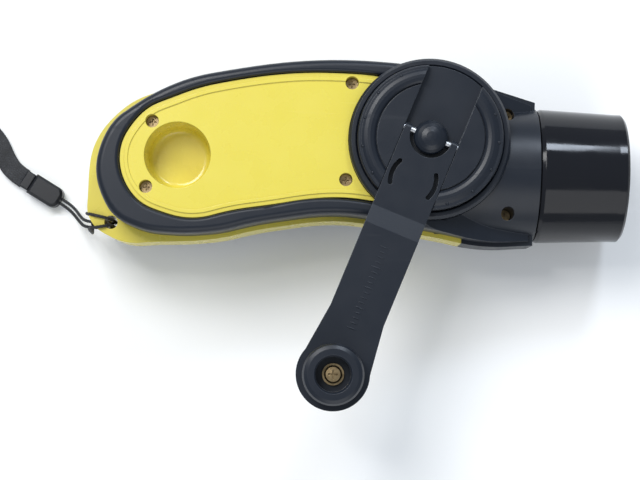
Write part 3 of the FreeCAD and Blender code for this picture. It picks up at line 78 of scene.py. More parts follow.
class Recipe:
    """The node tree of one finish, built round a single shader."""

    edge_samples: int = 6
    flat_edge: float = 0.985
    sharp_edge: float = 0.8
    hairline_stretch: float = 0.06
    hairline_tip: tuple[float, float] = (0.3, 0.2)
    hairline_start: float = 0.68
    hairline_full: float = 0.72

    def __init__(self, name: str) -> None:
        """Starts an empty tree.

        Args:
            name: Name of the new material.
        """
        self.material = bpy.data.materials.new(name)
        self.material.use_nodes = True
        self.tree = self.material.node_tree
        self.tree.nodes.clear()
        self.shader = self.add("ShaderNodeBsdfPrincipled")
        output = self.add("ShaderNodeOutputMaterial")
        self.tree.links.new(self.shader.outputs["BSDF"], output.inputs["Surface"])
        self.place = self.add("ShaderNodeTexCoord").outputs["Object"]

    def add(self, kind: str, **settings: object) -> bpy.types.Node:
        """Adds a node.

        Args:
            kind: Blender's name of the node type.
            **settings: Properties to set on it.

        Returns:
            The node.
        """
        node = self.tree.nodes.new(kind)
        for key, value in settings.items():
            setattr(node, key, value)
        return node

    def feed(self, socket: Socket, value: object) -> None:
        """Links a socket to another one, or sets its own value.

        Args:
            socket: The socket that is fed.
            value: Another socket, or a plain value.
        """
        if isinstance(value, bpy.types.NodeSocket):
            self.tree.links.new(value, socket)
        else:
            socket.default_value = value

    def stretched(self, stretch: Colour) -> Socket:
        """The place on the piece, with its axes scaled.

        Args:
            stretch: Scale of each axis.

        Returns:
            The socket with the scaled place.
        """
        mapping = self.add("ShaderNodeMapping")
        self.feed(mapping.inputs["Vector"], self.place)
        self.feed(mapping.inputs["Scale"], stretch)
        return mapping.outputs["Vector"]

    def noise(self, size: float, detail: float = 3.0, stretch: Colour = (1.0, 1.0, 1.0)) -> Socket:
        """Cloudy noise.

        Args:
            size: Size of its patches in millimetres.
            detail: How many finer layers it has.
            stretch: Scale of each axis; a small one draws the patches out along that axis.

        Returns:
            The socket with its value, from 0 to 1.
        """
        noise = self.add("ShaderNodeTexNoise")
        self.feed(noise.inputs["Vector"], self.stretched(stretch))
        self.feed(noise.inputs["Scale"], 1 / (size * MM))
        self.feed(noise.inputs["Detail"], detail)
        return noise.outputs["Fac"]

    def pebbles(self, size: float) -> Socket:
        """Rounded pits and bumps.

        Args:
            size: Their size in millimetres.

        Returns:
            The socket with their height.
        """
        cells = self.add("ShaderNodeTexVoronoi", feature="SMOOTH_F1")
        self.feed(cells.inputs["Vector"], self.place)
        self.feed(cells.inputs["Scale"], 1 / (size * MM))
        return cells.outputs["Distance"]

    def span(self, value: Socket, start: float, end: float, low: float, high: float) -> Socket:
        """Maps a value from one range to another, and holds it there.

        Args:
            value: The value.
            start: Where the first range starts.
            end: Where it ends.
            low: What its start becomes.
            high: What its end becomes.

        Returns:
            The socket with the mapped value.
        """
        ranged = self.add("ShaderNodeMapRange")
        for name, amount in (("Value", value), ("From Min", start), ("From Max", end),
                             ("To Min", low), ("To Max", high)):
            self.feed(ranged.inputs[name], amount)
        return ranged.outputs["Result"]

    def sum(self, first: Socket, second: Socket | float, how: str = "ADD") -> Socket:
        """One value worked out from two by simple arithmetic.

        Args:
            first: The first value.
            second: The second one, a socket or a number.
            how: Name of the operation.

        Returns:
            The socket with the result.
        """
        node = self.add("ShaderNodeMath", operation=how)
        self.feed(node.inputs[0], first)
        self.feed(node.inputs[1], second)
        return node.outputs["Value"]

    def mixed(self, share: Socket, first: object, second: object) -> Socket:
        """A colour between two others.

        Args:
            share: 0 for the first colour, 1 for the second.
            first: A colour, or a socket that holds one.
            second: The same.

        Returns:
            The socket with the colour.
        """
        mix = self.add("ShaderNodeMix", data_type="RGBA")
        self.feed(mix.inputs["Factor"], share)
        colours = [socket for socket in mix.inputs if socket.type == "RGBA"]
        for socket, colour in zip(colours, (first, second)):
            self.feed(socket, (*colour, 1.0) if isinstance(colour, tuple) else colour)
        return next(socket for socket in mix.outputs if socket.type == "RGBA")

    def relief(self, height: Socket, depth: float, under: Socket | None = None) -> Socket:
        """A bumpy surface.

        Args:
            height: The relief, from 0 to 1.
            depth: Its depth in millimetres.
            under: The surface below it, if it isn't the mesh's own.

        Returns:
            The socket with the normal.
        """
        bump = self.add("ShaderNodeBump")
        self.feed(bump.inputs["Height"], height)
        self.feed(bump.inputs["Distance"], depth * MM)
        if under is not None:
            self.feed(bump.inputs["Normal"], under)
        return bump.outputs["Normal"]

    def rounded(self, radius: float) -> tuple[Socket, Socket]:
        """Softens sharp edges.

        Args:
            radius: Radius of the softened edges in millimetres.

        Returns:
            The softened normal, and how near an edge a place is, from 0 to 1.
        """
        bevel = self.add("ShaderNodeBevel", samples=self.edge_samples)
        self.feed(bevel.inputs["Radius"], radius * MM)
        facing = self.add("ShaderNodeVectorMath", operation="DOT_PRODUCT")
        self.feed(facing.inputs[0], bevel.outputs["Normal"])
        self.feed(facing.inputs[1], self.add("ShaderNodeNewGeometry").outputs["Normal"])
        edge = self.span(facing.outputs["Value"], self.flat_edge, self.sharp_edge, 0.0, 1.0)
        return bevel.outputs["Normal"], edge

    def scratches(self, size: float, slant: float) -> Socket:
        """Sparse hairlines.

        Args:
            size: Rough distance between them in millimetres.
            slant: Direction in the plan, in degrees.

        Returns:
            The socket with 1 on a hairline and 0 elsewhere.
        """
        mapping = self.add("ShaderNodeMapping")
        self.feed(mapping.inputs["Vector"], self.place)
        self.feed(mapping.inputs["Rotation"], (*self.hairline_tip, math.radians(slant)))
        self.feed(mapping.inputs["Scale"], (self.hairline_stretch, 1.0, 1.0))
        lines = self.add("ShaderNodeTexNoise")
        self.feed(lines.inputs["Vector"], mapping.outputs["Vector"])
        self.feed(lines.inputs["Scale"], 1 / (size * MM))
        self.feed(lines.inputs["Detail"], 2.0)
        return self.span(lines.outputs["Fac"], self.hairline_start, self.hairline_full, 0.0, 1.0)

    def finish(self, **sockets: object) -> bpy.types.Material:
        """Sets the shader's sockets.

        Args:
            **sockets: Values or links, named as the sockets with underscores for spaces.

        Returns:
            The finished material.
        """
        for name, value in sockets.items():
            if name == "Base_Color" and isinstance(value, tuple):
                value = (*value, 1.0)
            self.feed(self.shader.inputs[name.replace("_", " ")], value)
        return self.material


class Finish(ABC):
    """A surface finish, made once and shared by every piece that has it."""

    made: dict[str, bpy.types.Material] = {}

    @abstractmethod
    def mix(self) -> bpy.types.Material:
        """Makes the material."""

    def material(self) -> bpy.types.Material:
        """The finish's material, made at its first use.

        Returns:
            The material.
        """
        if self.name not in Finish.made:
            Finish.made[self.name] = self.mix()
        return Finish.made[self.name]


@dataclass(frozen=True)
class Moulded(Finish):
    """Moulded plastic: a fine grain, faint flow marks, lighter edges and a few hairlines. The lighter
    edges are painted highlight broken up by noise, mixed with edge wear.

    Lengths are in millimetres.
    """

    name: str
    colour: Colour
    shade: Colour
    glint_and_wear: Colour
    # Colour of the lighter edges: painted highlight mixed with edge wear.
    roughness: float
    grain: float = 0.35
    grain_depth: float = 0.01
    edge: float = 0.25
    # How much of the lighter edge colour is mixed in: painted highlight and wear.
    glint_and_wear_share: float = 0.35
    coat: float = 0.0
    coat_roughness: float = 0.1
    sheen: float = 0.0
    index: float = 1.5
    waviness: float = 0.0
    glow: float = 0.0
    flow_size: float = 38.0
    flow_stretch: Colour = (0.4, 1.0, 1.0)
    smudge_size: float = 9.0
    chip_size: float = 1.6
    wave_size: float = 14.0
    wave_stretch: Colour = (0.3, 1.0, 1.0)
    hairline_gap: float = 2.6
    hairline_slant: float = 24.0
    hairline_depth: float = 0.004
    sheen_roughness: float = 0.35
    glow_reach: Colour = (0.001, 0.0008, 0.0002)

    def mix(self) -> bpy.types.Material:
        """Makes the material.

        Returns:
            The finished material.
        """
        recipe = Recipe(self.name)
        flow = recipe.noise(self.flow_size, 2.0, self.flow_stretch)
        smudge = recipe.noise(self.smudge_size, 4.0)
        grain = recipe.pebbles(self.grain)
        normal, edge = recipe.rounded(self.edge)
        # Lighter colour along every edge, broken up by noise: painted highlight standing in for the
        # glints on rounded edges, mixed with edge wear.
        chips = recipe.span(recipe.noise(self.chip_size), 0.4, 0.6, 0.3, 1.0)
        glinting_edges = recipe.sum(edge, chips, "MULTIPLY")
        glint_and_wear = recipe.sum(glinting_edges, self.glint_and_wear_share, "MULTIPLY")
        lines = recipe.scratches(self.hairline_gap, self.hairline_slant)
        base = recipe.mixed(recipe.span(flow, 0.3, 0.7, 0.0, 1.0), self.colour, self.shade)
        colour = recipe.mixed(glint_and_wear, base, self.glint_and_wear)
        rough = recipe.span(smudge, 0.25, 0.75, self.roughness - 0.04, self.roughness + 0.06)
        rough = recipe.sum(rough, recipe.sum(lines, 0.1, "MULTIPLY"))
        if self.waviness:
            waves = recipe.noise(self.wave_size, 1.0, self.wave_stretch)
            normal = recipe.relief(waves, self.waviness, normal)
        normal = recipe.relief(grain, self.grain_depth, normal)
        normal = recipe.relief(lines, -self.hairline_depth, normal)
        return recipe.finish(
            Base_Color=colour, Roughness=rough, Normal=normal, IOR=self.index,
            Coat_Weight=self.coat, Coat_Roughness=self.coat_roughness,
            Sheen_Weight=self.sheen, Sheen_Roughness=self.sheen_roughness,
            Subsurface_Weight=self.glow, Subsurface_Radius=self.glow_reach,
        )


@dataclass(frozen=True)
class Metal(Finish):
    """Metal with fine tool lines and a slight tarnish. Lengths are in millimetres."""

    name: str
    colour: Colour
    tarnish: Colour
    roughness: float
    lines: Grain = Grain.EVEN
    line_depth: float = 0.004
    edge: float = 0.12
    line_size: float = 0.12
    patch_size: float = 1.8

    def mix(self) -> bpy.types.Material:
        """Makes the material.

        Returns:
            The finished material.
        """
        recipe = Recipe(self.name)
        lines = recipe.noise(self.line_size, 2.0, self.lines.value)
        patches = recipe.noise(self.patch_size, 4.0)
        normal, edge = recipe.rounded(self.edge)
        dull = recipe.span(patches, 0.42, 0.7, 0.0, 0.8)
        colour = recipe.mixed(dull, self.colour, self.tarnish)
        bright = recipe.mixed(recipe.sum(edge, 0.5, "MULTIPLY"), colour, self.colour)
        rough = recipe.span(patches, 0.3, 0.7, self.roughness, self.roughness + 0.14)
        return recipe.finish(
            Base_Color=bright, Metallic=1.0, Roughness=rough,
            Normal=recipe.relief(lines, self.line_depth, normal),
        )


@dataclass(frozen=True)
class Clear(Finish):
    """Clear plastic with a trace of dust and fine wiping marks. Lengths are in millimetres."""

    name: str
    colour: Colour
    roughness: float
    index: float = 1.49
    dust_size: float = 0.6
    hairline_gap: float = 1.4
    hairline_slant: float = 70.0
    hairline_depth: float = 0.003

    def mix(self) -> bpy.types.Material:
        """Makes the material.

        Returns:
            The finished material.
        """
        recipe = Recipe(self.name)
        dust = recipe.span(recipe.noise(self.dust_size, 3.0), 0.62, 0.72, 0.0, 1.0)
        wiping = recipe.scratches(self.hairline_gap, self.hairline_slant)
        rough = recipe.sum(recipe.sum(dust, 0.05, "MULTIPLY"), self.roughness)
        colour = recipe.mixed(dust, self.colour, tuple(0.94 * part for part in self.colour))
        return recipe.finish(
            Base_Color=colour, Transmission_Weight=1.0, IOR=self.index, Roughness=rough,
            Normal=recipe.relief(wiping, -self.hairline_depth),
        )


@dataclass(frozen=True)
class Mirror(Finish):
    """Bright metallised plastic with a slight ripple. Lengths are in millimetres."""

    name: str
    colour: Colour
    ripple_size: float = 2.4
    ripple_depth: float = 0.03
    haze_size: float = 5.0

    def mix(self) -> bpy.types.Material:
        """Makes the material.

        Returns:
            The finished material.
        """
        recipe = Recipe(self.name)
        ripple = recipe.noise(self.ripple_size, 2.0)
        haze = recipe.span(recipe.noise(self.haze_size, 3.0), 0.4, 0.7, 0.05, 0.14)
        return recipe.finish(
            Base_Color=self.colour, Metallic=1.0, Roughness=haze,
            Normal=recipe.relief(ripple, self.ripple_depth),
        )


@dataclass(frozen=True)
class Fibre(Finish):
    """Textile yarn: fine filaments, sheen and a painted highlight on the raised filaments. Lengths are
    in millimetres.
    """

    name: str
    colour: Colour
    # Lighter colour of the raised filaments: painted highlight.
    crown: Colour
    filament: float = 0.3
    filament_depth: float = 0.03
    patch_size: float = 4.0
    fuzz: float = 0.12
    fuzz_roughness: float = 0.4

    def mix(self) -> bpy.types.Material:
        """Makes the material.

        Returns:
            The finished material.
        """
        recipe = Recipe(self.name)
        filaments = recipe.noise(self.filament, 2.0)
        patches = recipe.noise(self.patch_size, 3.0)
        # Lighter colour where the filaments stand raised: painted highlight.
        share = recipe.sum(recipe.span(filaments, 0.4, 0.65, 0.0, 0.7),
                           recipe.span(patches, 0.3, 0.7, 0.4, 1.0), "MULTIPLY")
        return recipe.finish(
            Base_Color=recipe.mixed(share, self.colour, self.crown),
            Roughness=recipe.span(filaments, 0.3, 0.7, 0.62, 0.8),
            Sheen_Weight=self.fuzz, Sheen_Roughness=self.fuzz_roughness,
            Normal=recipe.relief(filaments, self.filament_depth),
        )


@dataclass(frozen=True)
class Winding(Finish):
    """Close turns of enamelled wire, with painted shade in the grooves between them. Lengths are in
    millimetres.
    """

    name: str
    colour: Colour
    shade: Colour
    pitch: float = 0.2
    turn_depth: float = 0.05
    wander: float = 0.4
    waves_per_length: float = 0.314

    def mix(self) -> bpy.types.Material:
        """Makes the material.

        Returns:
            The finished material.
        """
        recipe = Recipe(self.name)
        turns = recipe.add("ShaderNodeTexWave", wave_profile="SIN", bands_direction="Z")
        recipe.feed(turns.inputs["Vector"], recipe.place)
        recipe.feed(turns.inputs["Scale"], self.waves_per_length / (self.pitch * MM))
        recipe.feed(turns.inputs["Distortion"], self.wander)
        height = turns.outputs["Fac"]
        return recipe.finish(
            # The grooves between turns take the darker shade colour: painted shade.
            Base_Color=recipe.mixed(height, self.shade, self.colour), Metallic=0.8,
            Roughness=recipe.span(recipe.noise(1.0), 0.3, 0.7, 0.25, 0.4),
            Normal=recipe.relief(height, self.turn_depth),
        )


@dataclass(frozen=True)
class Laminate(Finish):
    """Circuit board: lacquered glass weave with lighter tracks under it. Sizes are in millimetres."""

    name: str
    colour: Colour
    track: Colour
    weave: float = 0.5
    weave_depth: float = 0.02
    tracks_per_metre: float = 120.0
    track_gap: float = 0.06

    def mix(self) -> bpy.types.Material:
        """Makes the material.

        Returns:
            The finished material.
        """
        recipe = Recipe(self.name)
        tracks = recipe.add("ShaderNodeTexBrick", offset=0.37, squash=1.6)
        recipe.feed(tracks.inputs["Vector"], recipe.place)
        recipe.feed(tracks.inputs["Scale"], self.tracks_per_metre)
        recipe.feed(tracks.inputs["Mortar Size"], self.track_gap)
        share = recipe.sum(tracks.outputs["Fac"], 0.6, "MULTIPLY")
        weave = recipe.noise(self.weave, 1.0)
        return recipe.finish(
            Base_Color=recipe.mixed(share, self.colour, self.track),
            Roughness=recipe.span(weave, 0.3, 0.7, 0.28, 0.42),
            Normal=recipe.relief(weave, self.weave_depth),
        )


@dataclass(frozen=True)
class Finishes:
    """Every finish on the flashlight, by the slot that the record gives it."""

    # The third colour of each moulded finish is its lighter edge colour: painted highlight mixed with
    # edge wear.
    head_black: Finish = Moulded(
        "head_black", (0.006, 0.0065, 0.009), (0.009, 0.01, 0.014), (0.04, 0.043, 0.052), 0.11,
        grain=1.2, grain_depth=0.0015, edge=0.3, glint_and_wear_share=0.3, index=1.34, waviness=0.02)
    # The blue cast of this black stands in for the bluish sheen of the lit surface: painted reflection.
    satin_black: Finish = Moulded(
        "satin_black", (0.006, 0.0095, 0.017), (0.0095, 0.013, 0.021), (0.17, 0.19, 0.23), 0.36,
        grain=0.3, grain_depth=0.012, edge=0.25, glint_and_wear_share=0.45, sheen=0.04, index=1.42)
    yellow_plastic: Finish = Moulded(
        "yellow_plastic", (0.73, 0.62, 0.085), (0.70, 0.58, 0.065), (0.85, 0.77, 0.24), 0.27,
        grain=0.7, grain_depth=0.004, edge=0.25, glint_and_wear_share=0.25, coat=0.25, coat_roughness=0.12,
        waviness=0.01, glow=0.08)
    lens_clear: Finish = Clear("lens_clear", (0.98, 0.99, 1.0), 0.02)
    lamp_clear: Finish = Clear("lamp_clear", (0.97, 0.985, 1.0), 0.03, 1.5)
    reflector_silver: Finish = Mirror("reflector_silver", (0.9, 0.91, 0.93))
    screw_brass: Finish = Metal("screw_brass", (0.42, 0.31, 0.17), (0.17, 0.12, 0.065), 0.3)
    contact_brass: Finish = Metal("contact_brass", (0.83, 0.66, 0.32), (0.6, 0.45, 0.2), 0.22)
    steel_plain: Finish = Metal(
        "steel_plain", (0.62, 0.63, 0.65), (0.42, 0.42, 0.43), 0.26, Grain.UPRIGHT)
    seal_rubber: Finish = Moulded(
        "seal_rubber", (0.018, 0.018, 0.018), (0.022, 0.022, 0.022), (0.04, 0.04, 0.04), 0.7)
    gear_white: Finish = Moulded(
        "gear_white", (0.83, 0.82, 0.76), (0.8, 0.79, 0.72), (0.9, 0.9, 0.86), 0.42, edge=0.1)
    magnet_black: Finish = Moulded(
        "magnet_black", (0.06, 0.06, 0.065), (0.08, 0.08, 0.085), (0.14, 0.14, 0.15), 0.5)
    coil_copper: Finish = Winding("coil_copper", (0.72, 0.36, 0.16), (0.36, 0.14, 0.05))
    board_green: Finish = Laminate("board_green", (0.03, 0.16, 0.06), (0.08, 0.3, 0.12))
    chip_black: Finish = Moulded(
        "chip_black", (0.02, 0.02, 0.022), (0.024, 0.024, 0.026), (0.06, 0.06, 0.06), 0.5, edge=0.1)
    sleeve_green: Finish = Moulded(
        "sleeve_green", (0.05, 0.33, 0.12), (0.06, 0.36, 0.14), (0.2, 0.5, 0.25), 0.25, coat=0.4)
    lanyard_black: Finish = Fibre("lanyard_black", (0.004, 0.004, 0.005), (0.075, 0.08, 0.092))
    connector_black: Finish = Moulded(
        "connector_black", (0.008, 0.0085, 0.011), (0.012, 0.013, 0.016), (0.11, 0.12, 0.14), 0.32,
        grain=0.5, grain_depth=0.006, edge=0.3, glint_and_wear_share=0.45, index=1.42)

    def of(self, slot: str) -> bpy.types.Material:
        """The material of a slot."""
        return getattr(self, slot).material()


FINISHES = Finishes()


def node_slots() -> dict[str, str]:
    """The record's material slot of each CAD node."""
    return {name: thing.material_slots[0].material.name.split(".")[0]
            for name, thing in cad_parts.items() if thing.material_slots}


SLOTS = node_slots()


def new_piece(name: str, made: bmesh.types.BMesh, body: Body, slot: str) -> bpy.types.Object:
    """Turns a mesh into a shown piece.

    Args:
        name: The piece's name.
        made: Its mesh, in metres in the object's own frame.
        body: The body that it rides on.
        slot: The slot that it takes its finish from.

    Returns:
        The piece.
    """
    bmesh.ops.recalc_face_normals(made, faces=made.faces)
    mesh = bpy.data.meshes.new(name)
    made.to_mesh(mesh)
    made.free()
    for face in mesh.polygons:
        face.use_smooth = True
    piece = bpy.data.objects.new(name, mesh)
    bpy.context.scene.collection.objects.link(piece)
    mesh.materials.append(FINISHES.of(slot))
    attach(piece, body.value)
    log.info("%s: %d faces on %s", name, len(mesh.polygons), body.value)
    return piece


def skin(made: bmesh.types.BMesh, rings: list[list[Vector]], capped: bool = True) -> None:
    """Joins closed rings of points into a tube.

    Args:
        made: The mesh that takes it.
        rings: Rings with the same number of points, in order.
        capped: Whether its two ends are closed.
    """
    loops = [[made.verts.new(point) for point in ring] for ring in rings]
    count = len(rings[0])
    for first, second in zip(loops, loops[1:]):
        for i in range(count):
            j = (i + 1) % count
            made.faces.new((first[i], first[j], second[j], second[i]))
    if capped:
        made.faces.new(loops[0][::-1])
        made.faces.new(loops[-1])


def turned(made: bmesh.types.BMesh, centre: Vector, axis: Vector,
           profile: Iterable[tuple[float, float]], steps: int = 32) -> None:
    """Turns a profile about an axis into a closed form.

    Args:
        made: The mesh that takes it.
        centre: Where the axis starts.
        axis: Its direction.
        profile: Radius and height pairs in metres, each radius above zero.
        steps: Number of steps round the axis.
    """
    up = axis.normalized()
    side = up.orthogonal().normalized()
    other = up.cross(side)
    rings = []
    for radius, height in profile:
        ring = []
        for step in range(steps):
            turn = 2 * math.pi * step / steps
            ring.append(centre + up * height
                        + (side * math.cos(turn) + other * math.sin(turn)) * radius)
        rings.append(ring)
    skin(made, rings)


def surface_of(*names: str) -> BVHTree:
    """A tree for finding places on CAD nodes.

    Args:
        *names: The nodes.

    Returns:
        One tree of all their faces.
    """
    points: list[Vector] = []
    faces: list[list[int]] = []
    for name in names:
        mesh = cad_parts[name].data
        start = len(points)
        points += [vertex.co.copy() for vertex in mesh.vertices]
        faces += [[start + i for i in face.vertices] for face in mesh.polygons]
    return BVHTree.FromPolygons(points, faces)


def struck(tree: BVHTree, start: Vector, way: Vector) -> tuple[Vector, Vector]:
    """Where a line first meets a surface.

    Args:
        tree: The surface.
        start: A point on the line.
        way: The line's direction.

    Returns:
        The place, and the surface's normal there, turned towards the start.
    """
    place, normal, _, _ = tree.ray_cast(start, way)
    if place is None:
        raise ValueError(f"nothing at {start} towards {way}")
    return place, normal if normal.dot(way) < 0 else -normal


def dress(names: Iterable[str]) -> None:
    """Gives CAD nodes the finishes of their slots.

    Args:
        names: The nodes.
    """
    for name in names:
        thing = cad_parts[name]
        for place in thing.material_slots:
            place.material = FINISHES.of(SLOTS[name])
        log.info("%s: dressed in %s", name, SLOTS[name])


@dataclass
class RaisedBar:
    """A small raised bar with rounded ends that follows the surface under it. Sizes in metres."""

    length: float
    width: float = 0.5 * MM
    rise: float = 0.14 * MM
    steps: int = 10

    def lay(self, made: bmesh.types.BMesh, tree: BVHTree, middle: Vector, along: Vector,
            way: Vector) -> None:
        """Adds the bar to a mesh.

        Args:
            made: The mesh that takes it.
            tree: The surface that it stands on.
            middle: A point straight off its middle.
            along: Its direction.
            way: The direction from that point to the surface.
        """
        points = []
        for i in range(self.steps + 1):
            away = (i / self.steps - 0.5) * self.length
            points.append(struck(tree, middle + along.normalized() * away, way))
        raised_line(made, points, self.width, self.rise)


TIP_SHARE = 0.25
TIP_SLOPE = 3.0
ARCH_STEPS = 4


def raised_line(made: bmesh.types.BMesh, points: list[tuple[Vector, Vector]], width: float,
                rise: float, closed: bool = False) -> None:
    """A raised line of half-round section on a surface.

    Args:
        made: The mesh that takes it.
        points: Places on the surface and normals there.
        width: Width of the line.
        rise: Its height.
        closed: Whether it runs back into its start.
    """
    count = len(points)
    rings = []
    for i, (place, normal) in enumerate(points):
        ahead = points[(i + 1) % count if closed else min(i + 1, count - 1)][0]
        behind = points[i - 1 if closed or i else 0][0]
        side = normal.cross(ahead - behind).normalized()
        inward = min(i, count - 1 - i) / count
        end = 1.0 if closed else min(1.0, TIP_SHARE + TIP_SLOPE * inward)
        ring = [place - normal * rise + side * width / 2 * end,
                place - normal * rise - side * width / 2 * end]
        for step in range(ARCH_STEPS + 1):
            turn = math.pi * step / ARCH_STEPS
            ring.append(place - side * math.cos(turn) * width / 2 * end
                        + normal * rise * math.sin(turn) * end)
        rings.append(ring)
    if closed:
        rings.append(rings[0])
    skin(made, rings, capped=not closed)
    if closed:
        bmesh.ops.remove_doubles(made, verts=made.verts, dist=1e-7)


@dataclass
class Head:
    """The lamp head, which turns on the neck. Sizes in metres."""

    nodes: tuple[str, ...] = (
        "head_tube", "lens_retainer", "lens", "lamp_1", "lamp_2", "lamp_3", "reflector",
        "lamp_board", "switch_wiper")
    cup_radius: float = 1.35 * MM
    cup_depth: float = 0.9 * MM
    cup_place: float = 0.55
    chip: float = 0.55 * MM
    lead: float = 0.45 * MM
    core: float = 0.02 * MM

    def build(self) -> None:
        """Dresses the head and puts the small bright cups inside the clear lamps."""
        dress(self.nodes)
        cups = bmesh.new()
        chips = bmesh.new()
        for number in (1, 2, 3):
            low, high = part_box(f"lamp_{number}")
            centre = (Vector(low) + Vector(high)) / 2
            centre.x = low[0] + self.cup_place * (high[0] - low[0])
            self.lamp_cup(cups, centre)
            self.lamp_chip(chips, centre)
        new_piece("lamp_cups", cups, Body.HEAD, "steel_plain")
        new_piece("lamp_chips", chips, Body.HEAD, "contact_brass")

    def lamp_cup(self, made: bmesh.types.BMesh, centre: Vector) -> None:
        """Adds the cup on its lead inside one lamp.

        Args:
            made: The mesh that takes it.
            centre: The middle of the cup's mouth.
        """
        deep = self.cup_depth
        profile = [(self.core, -deep * 0.5), (self.cup_radius * 0.5, -deep * 0.5),
                   (self.cup_radius, 0.0), (self.cup_radius * 1.12, 0.0),
                   (self.cup_radius * 0.8, -deep), (self.lead, -deep * 1.3),
                   (self.lead, -deep * 4.0), (self.core, -deep * 4.0)]
        turned(made, centre, Vector((1, 0, 0)), profile, 20)

    def lamp_chip(self, made: bmesh.types.BMesh, centre: Vector) -> None:
        """Adds the light-giving chip in one cup.

        Args:
            made: The mesh that takes it.
            centre: The middle of the cup's mouth.
        """
        deep = self.cup_depth
        profile = [(self.core, -deep * 0.48), (self.chip, -deep * 0.48),
                   (self.chip, -deep * 0.2), (self.core, -deep * 0.15)]
        turned(made, centre, Vector((1, 0, 0)), profile, 16)


@dataclass
class Neck:
    """The sleeve that the head turns on, with its seal, contact and switch marks. Sizes in metres."""

    nodes: tuple[str, ...] = ("neck_core", "head_clip", "neck_seal", "contact_ring", "neck_screws")
    mark_station: float = 31.6 * MM
    ring_across: float = 8.6 * MM
    ring_radius: float = 1.05 * MM
    bars_across: tuple[float, ...] = (5.6 * MM, 4.2 * MM, 2.8 * MM, 1.4 * MM, 0.0, -1.4 * MM)
    bar: RaisedBar = field(default_factory=lambda: RaisedBar(1.5 * MM, 0.34 * MM, 0.12 * MM, 6))
    line: float = 0.34 * MM
    rise: float = 0.12 * MM
    ring_steps: int = 28

    def build(self) -> None:
        """Dresses the neck, and raises the ring and the bars that mark its switch positions."""
        dress(self.nodes)
        tree = surface_of("frame_palm")
        below = -CLEAR_OF_ALL
        up = Vector((0, 0, 1))
        made = bmesh.new()
        points = []
        for i in range(self.ring_steps):
            turn = 2 * math.pi * i / self.ring_steps
            start = Vector((-self.mark_station + self.ring_radius * math.cos(turn),
                            self.ring_across + self.ring_radius * math.sin(turn), below))
            points.append(struck(tree, start, up))
        raised_line(made, points, self.line, self.rise, closed=True)
        for across in self.bars_across:
            self.bar.lay(made, tree, Vector((-self.mark_station, across, below)),
                         Vector((1, 0, 0)), up)
        new_piece("switch_marks", made, Body.GRIP, "satin_black")


@dataclass
class Grip:
    """The two black frames, the yellow shells, the palm panel and the cover."""

    nodes: tuple[str, ...] = (
        "frame_crank", "frame_palm", "shell_crank", "shell_palm", "palm_panel", "crank_cover",
        "cover_screws")

    def build(self) -> None:
        """Dresses the grip."""
        dress(self.nodes)


@dataclass
class Crank:
    """The collar, the disc, the folding arm and its knob. Sizes in metres, angles in degrees."""

    nodes: tuple[str, ...] = (
        "crank_collar", "crank_disc", "hinge_pin", "centre_cap", "crank_shaft", "crank_arm",
        "knob", "knob_washer", "knob_screw")
    axis: Vector = field(default_factory=lambda: Vector((-65.0, 8.7, 0.0)) * MM)
    arm_angle: float = 249.0
    pips: int = 15
    pip_circle: float = 21.9 * MM
    pip_radius: float = 0.55 * MM
    pip_rise: float = 0.36 * MM
    arm_half: float = 9.6 * MM
    tick_start: float = 38.5 * MM
    tick_pitch: float = 1.72 * MM
    ticks: int = 17
    tick: RaisedBar = field(default_factory=lambda: RaisedBar(2.6 * MM, 0.5 * MM, 0.13 * MM, 8))
    long_tick: RaisedBar = field(default_factory=lambda: RaisedBar(3.8 * MM, 0.5 * MM, 0.13 * MM, 8))

    def build(self) -> None:
        """Dresses the crank, and adds the disc's pips and the arm's ticks."""
        dress(self.nodes)
        self.disc_pips()
        self.arm_ticks()

    def disc_pips(self) -> None:
        """Small domes round the edge of the disc, left out where the arm's channel runs."""
        tree = surface_of("crank_disc")
        made = bmesh.new()
        above = Vector((0, 0, CLEAR_OF_ALL))
        arm = Vector((math.cos(math.radians(self.arm_angle)),
                      math.sin(math.radians(self.arm_angle)), 0))
        for i in range(self.pips):
            turn = math.radians(self.arm_angle + 360 / self.pips * (i + 0.5))
            out = Vector((math.cos(turn), math.sin(turn), 0)) * self.pip_circle
            if abs(out.cross(arm).z) < self.arm_half:
                continue
            place, normal = struck(tree, self.axis + out + above, Vector((0, 0, -1)))
            radius, rise = self.pip_radius, self.pip_rise
            profile = [(radius * 0.98, -rise), (radius, 0.0), (radius * 0.86, rise * 0.5),
                       (radius * 0.5, rise * 0.87), (0.02 * MM, rise)]
            turned(made, place, normal, profile, 14)
        new_piece("disc_pips", made, Body.CRANK, "satin_black")

    def arm_ticks(self) -> None:
        """A plain row of raised ticks along the outer arm, every fourth one longer."""
        tree = surface_of("crank_arm")
        made = bmesh.new()
        turn = math.radians(self.arm_angle)
        out = Vector((math.cos(turn), math.sin(turn), 0))
        across = Vector((-out.y, out.x, 0))
        above = Vector((0, 0, CLEAR_OF_ALL))
        for i in range(self.ticks):
            middle = self.axis + out * (self.tick_start + i * self.tick_pitch) + above
            bar = self.tick if i % 4 else self.long_tick
            bar.lay(made, tree, middle, across, Vector((0, 0, -1)))
        new_piece("arm_ticks", made, Body.ARM, "satin_black")


@dataclass
class Works:
    """The gear train, the generator and the circuit inside the grip."""

    nodes: tuple[str, ...] = (
        "drive_gear", "idler_gear", "rotor_pinion", "idler_axle", "rotor_shaft", "rotor_magnet",
        "stator_lower", "stator_upper", "stator_coil", "gear_plate", "gear_bridge",
        "circuit_board", "rectifier_chip", "smoothing_capacitor", "storage_cell_1",
        "storage_cell_2", "storage_cell_3", "cell_sleeve")

    def build(self) -> None:
        """Dresses the inner pieces."""
        dress(self.nodes)


SMOOTH_SAMPLES = 40


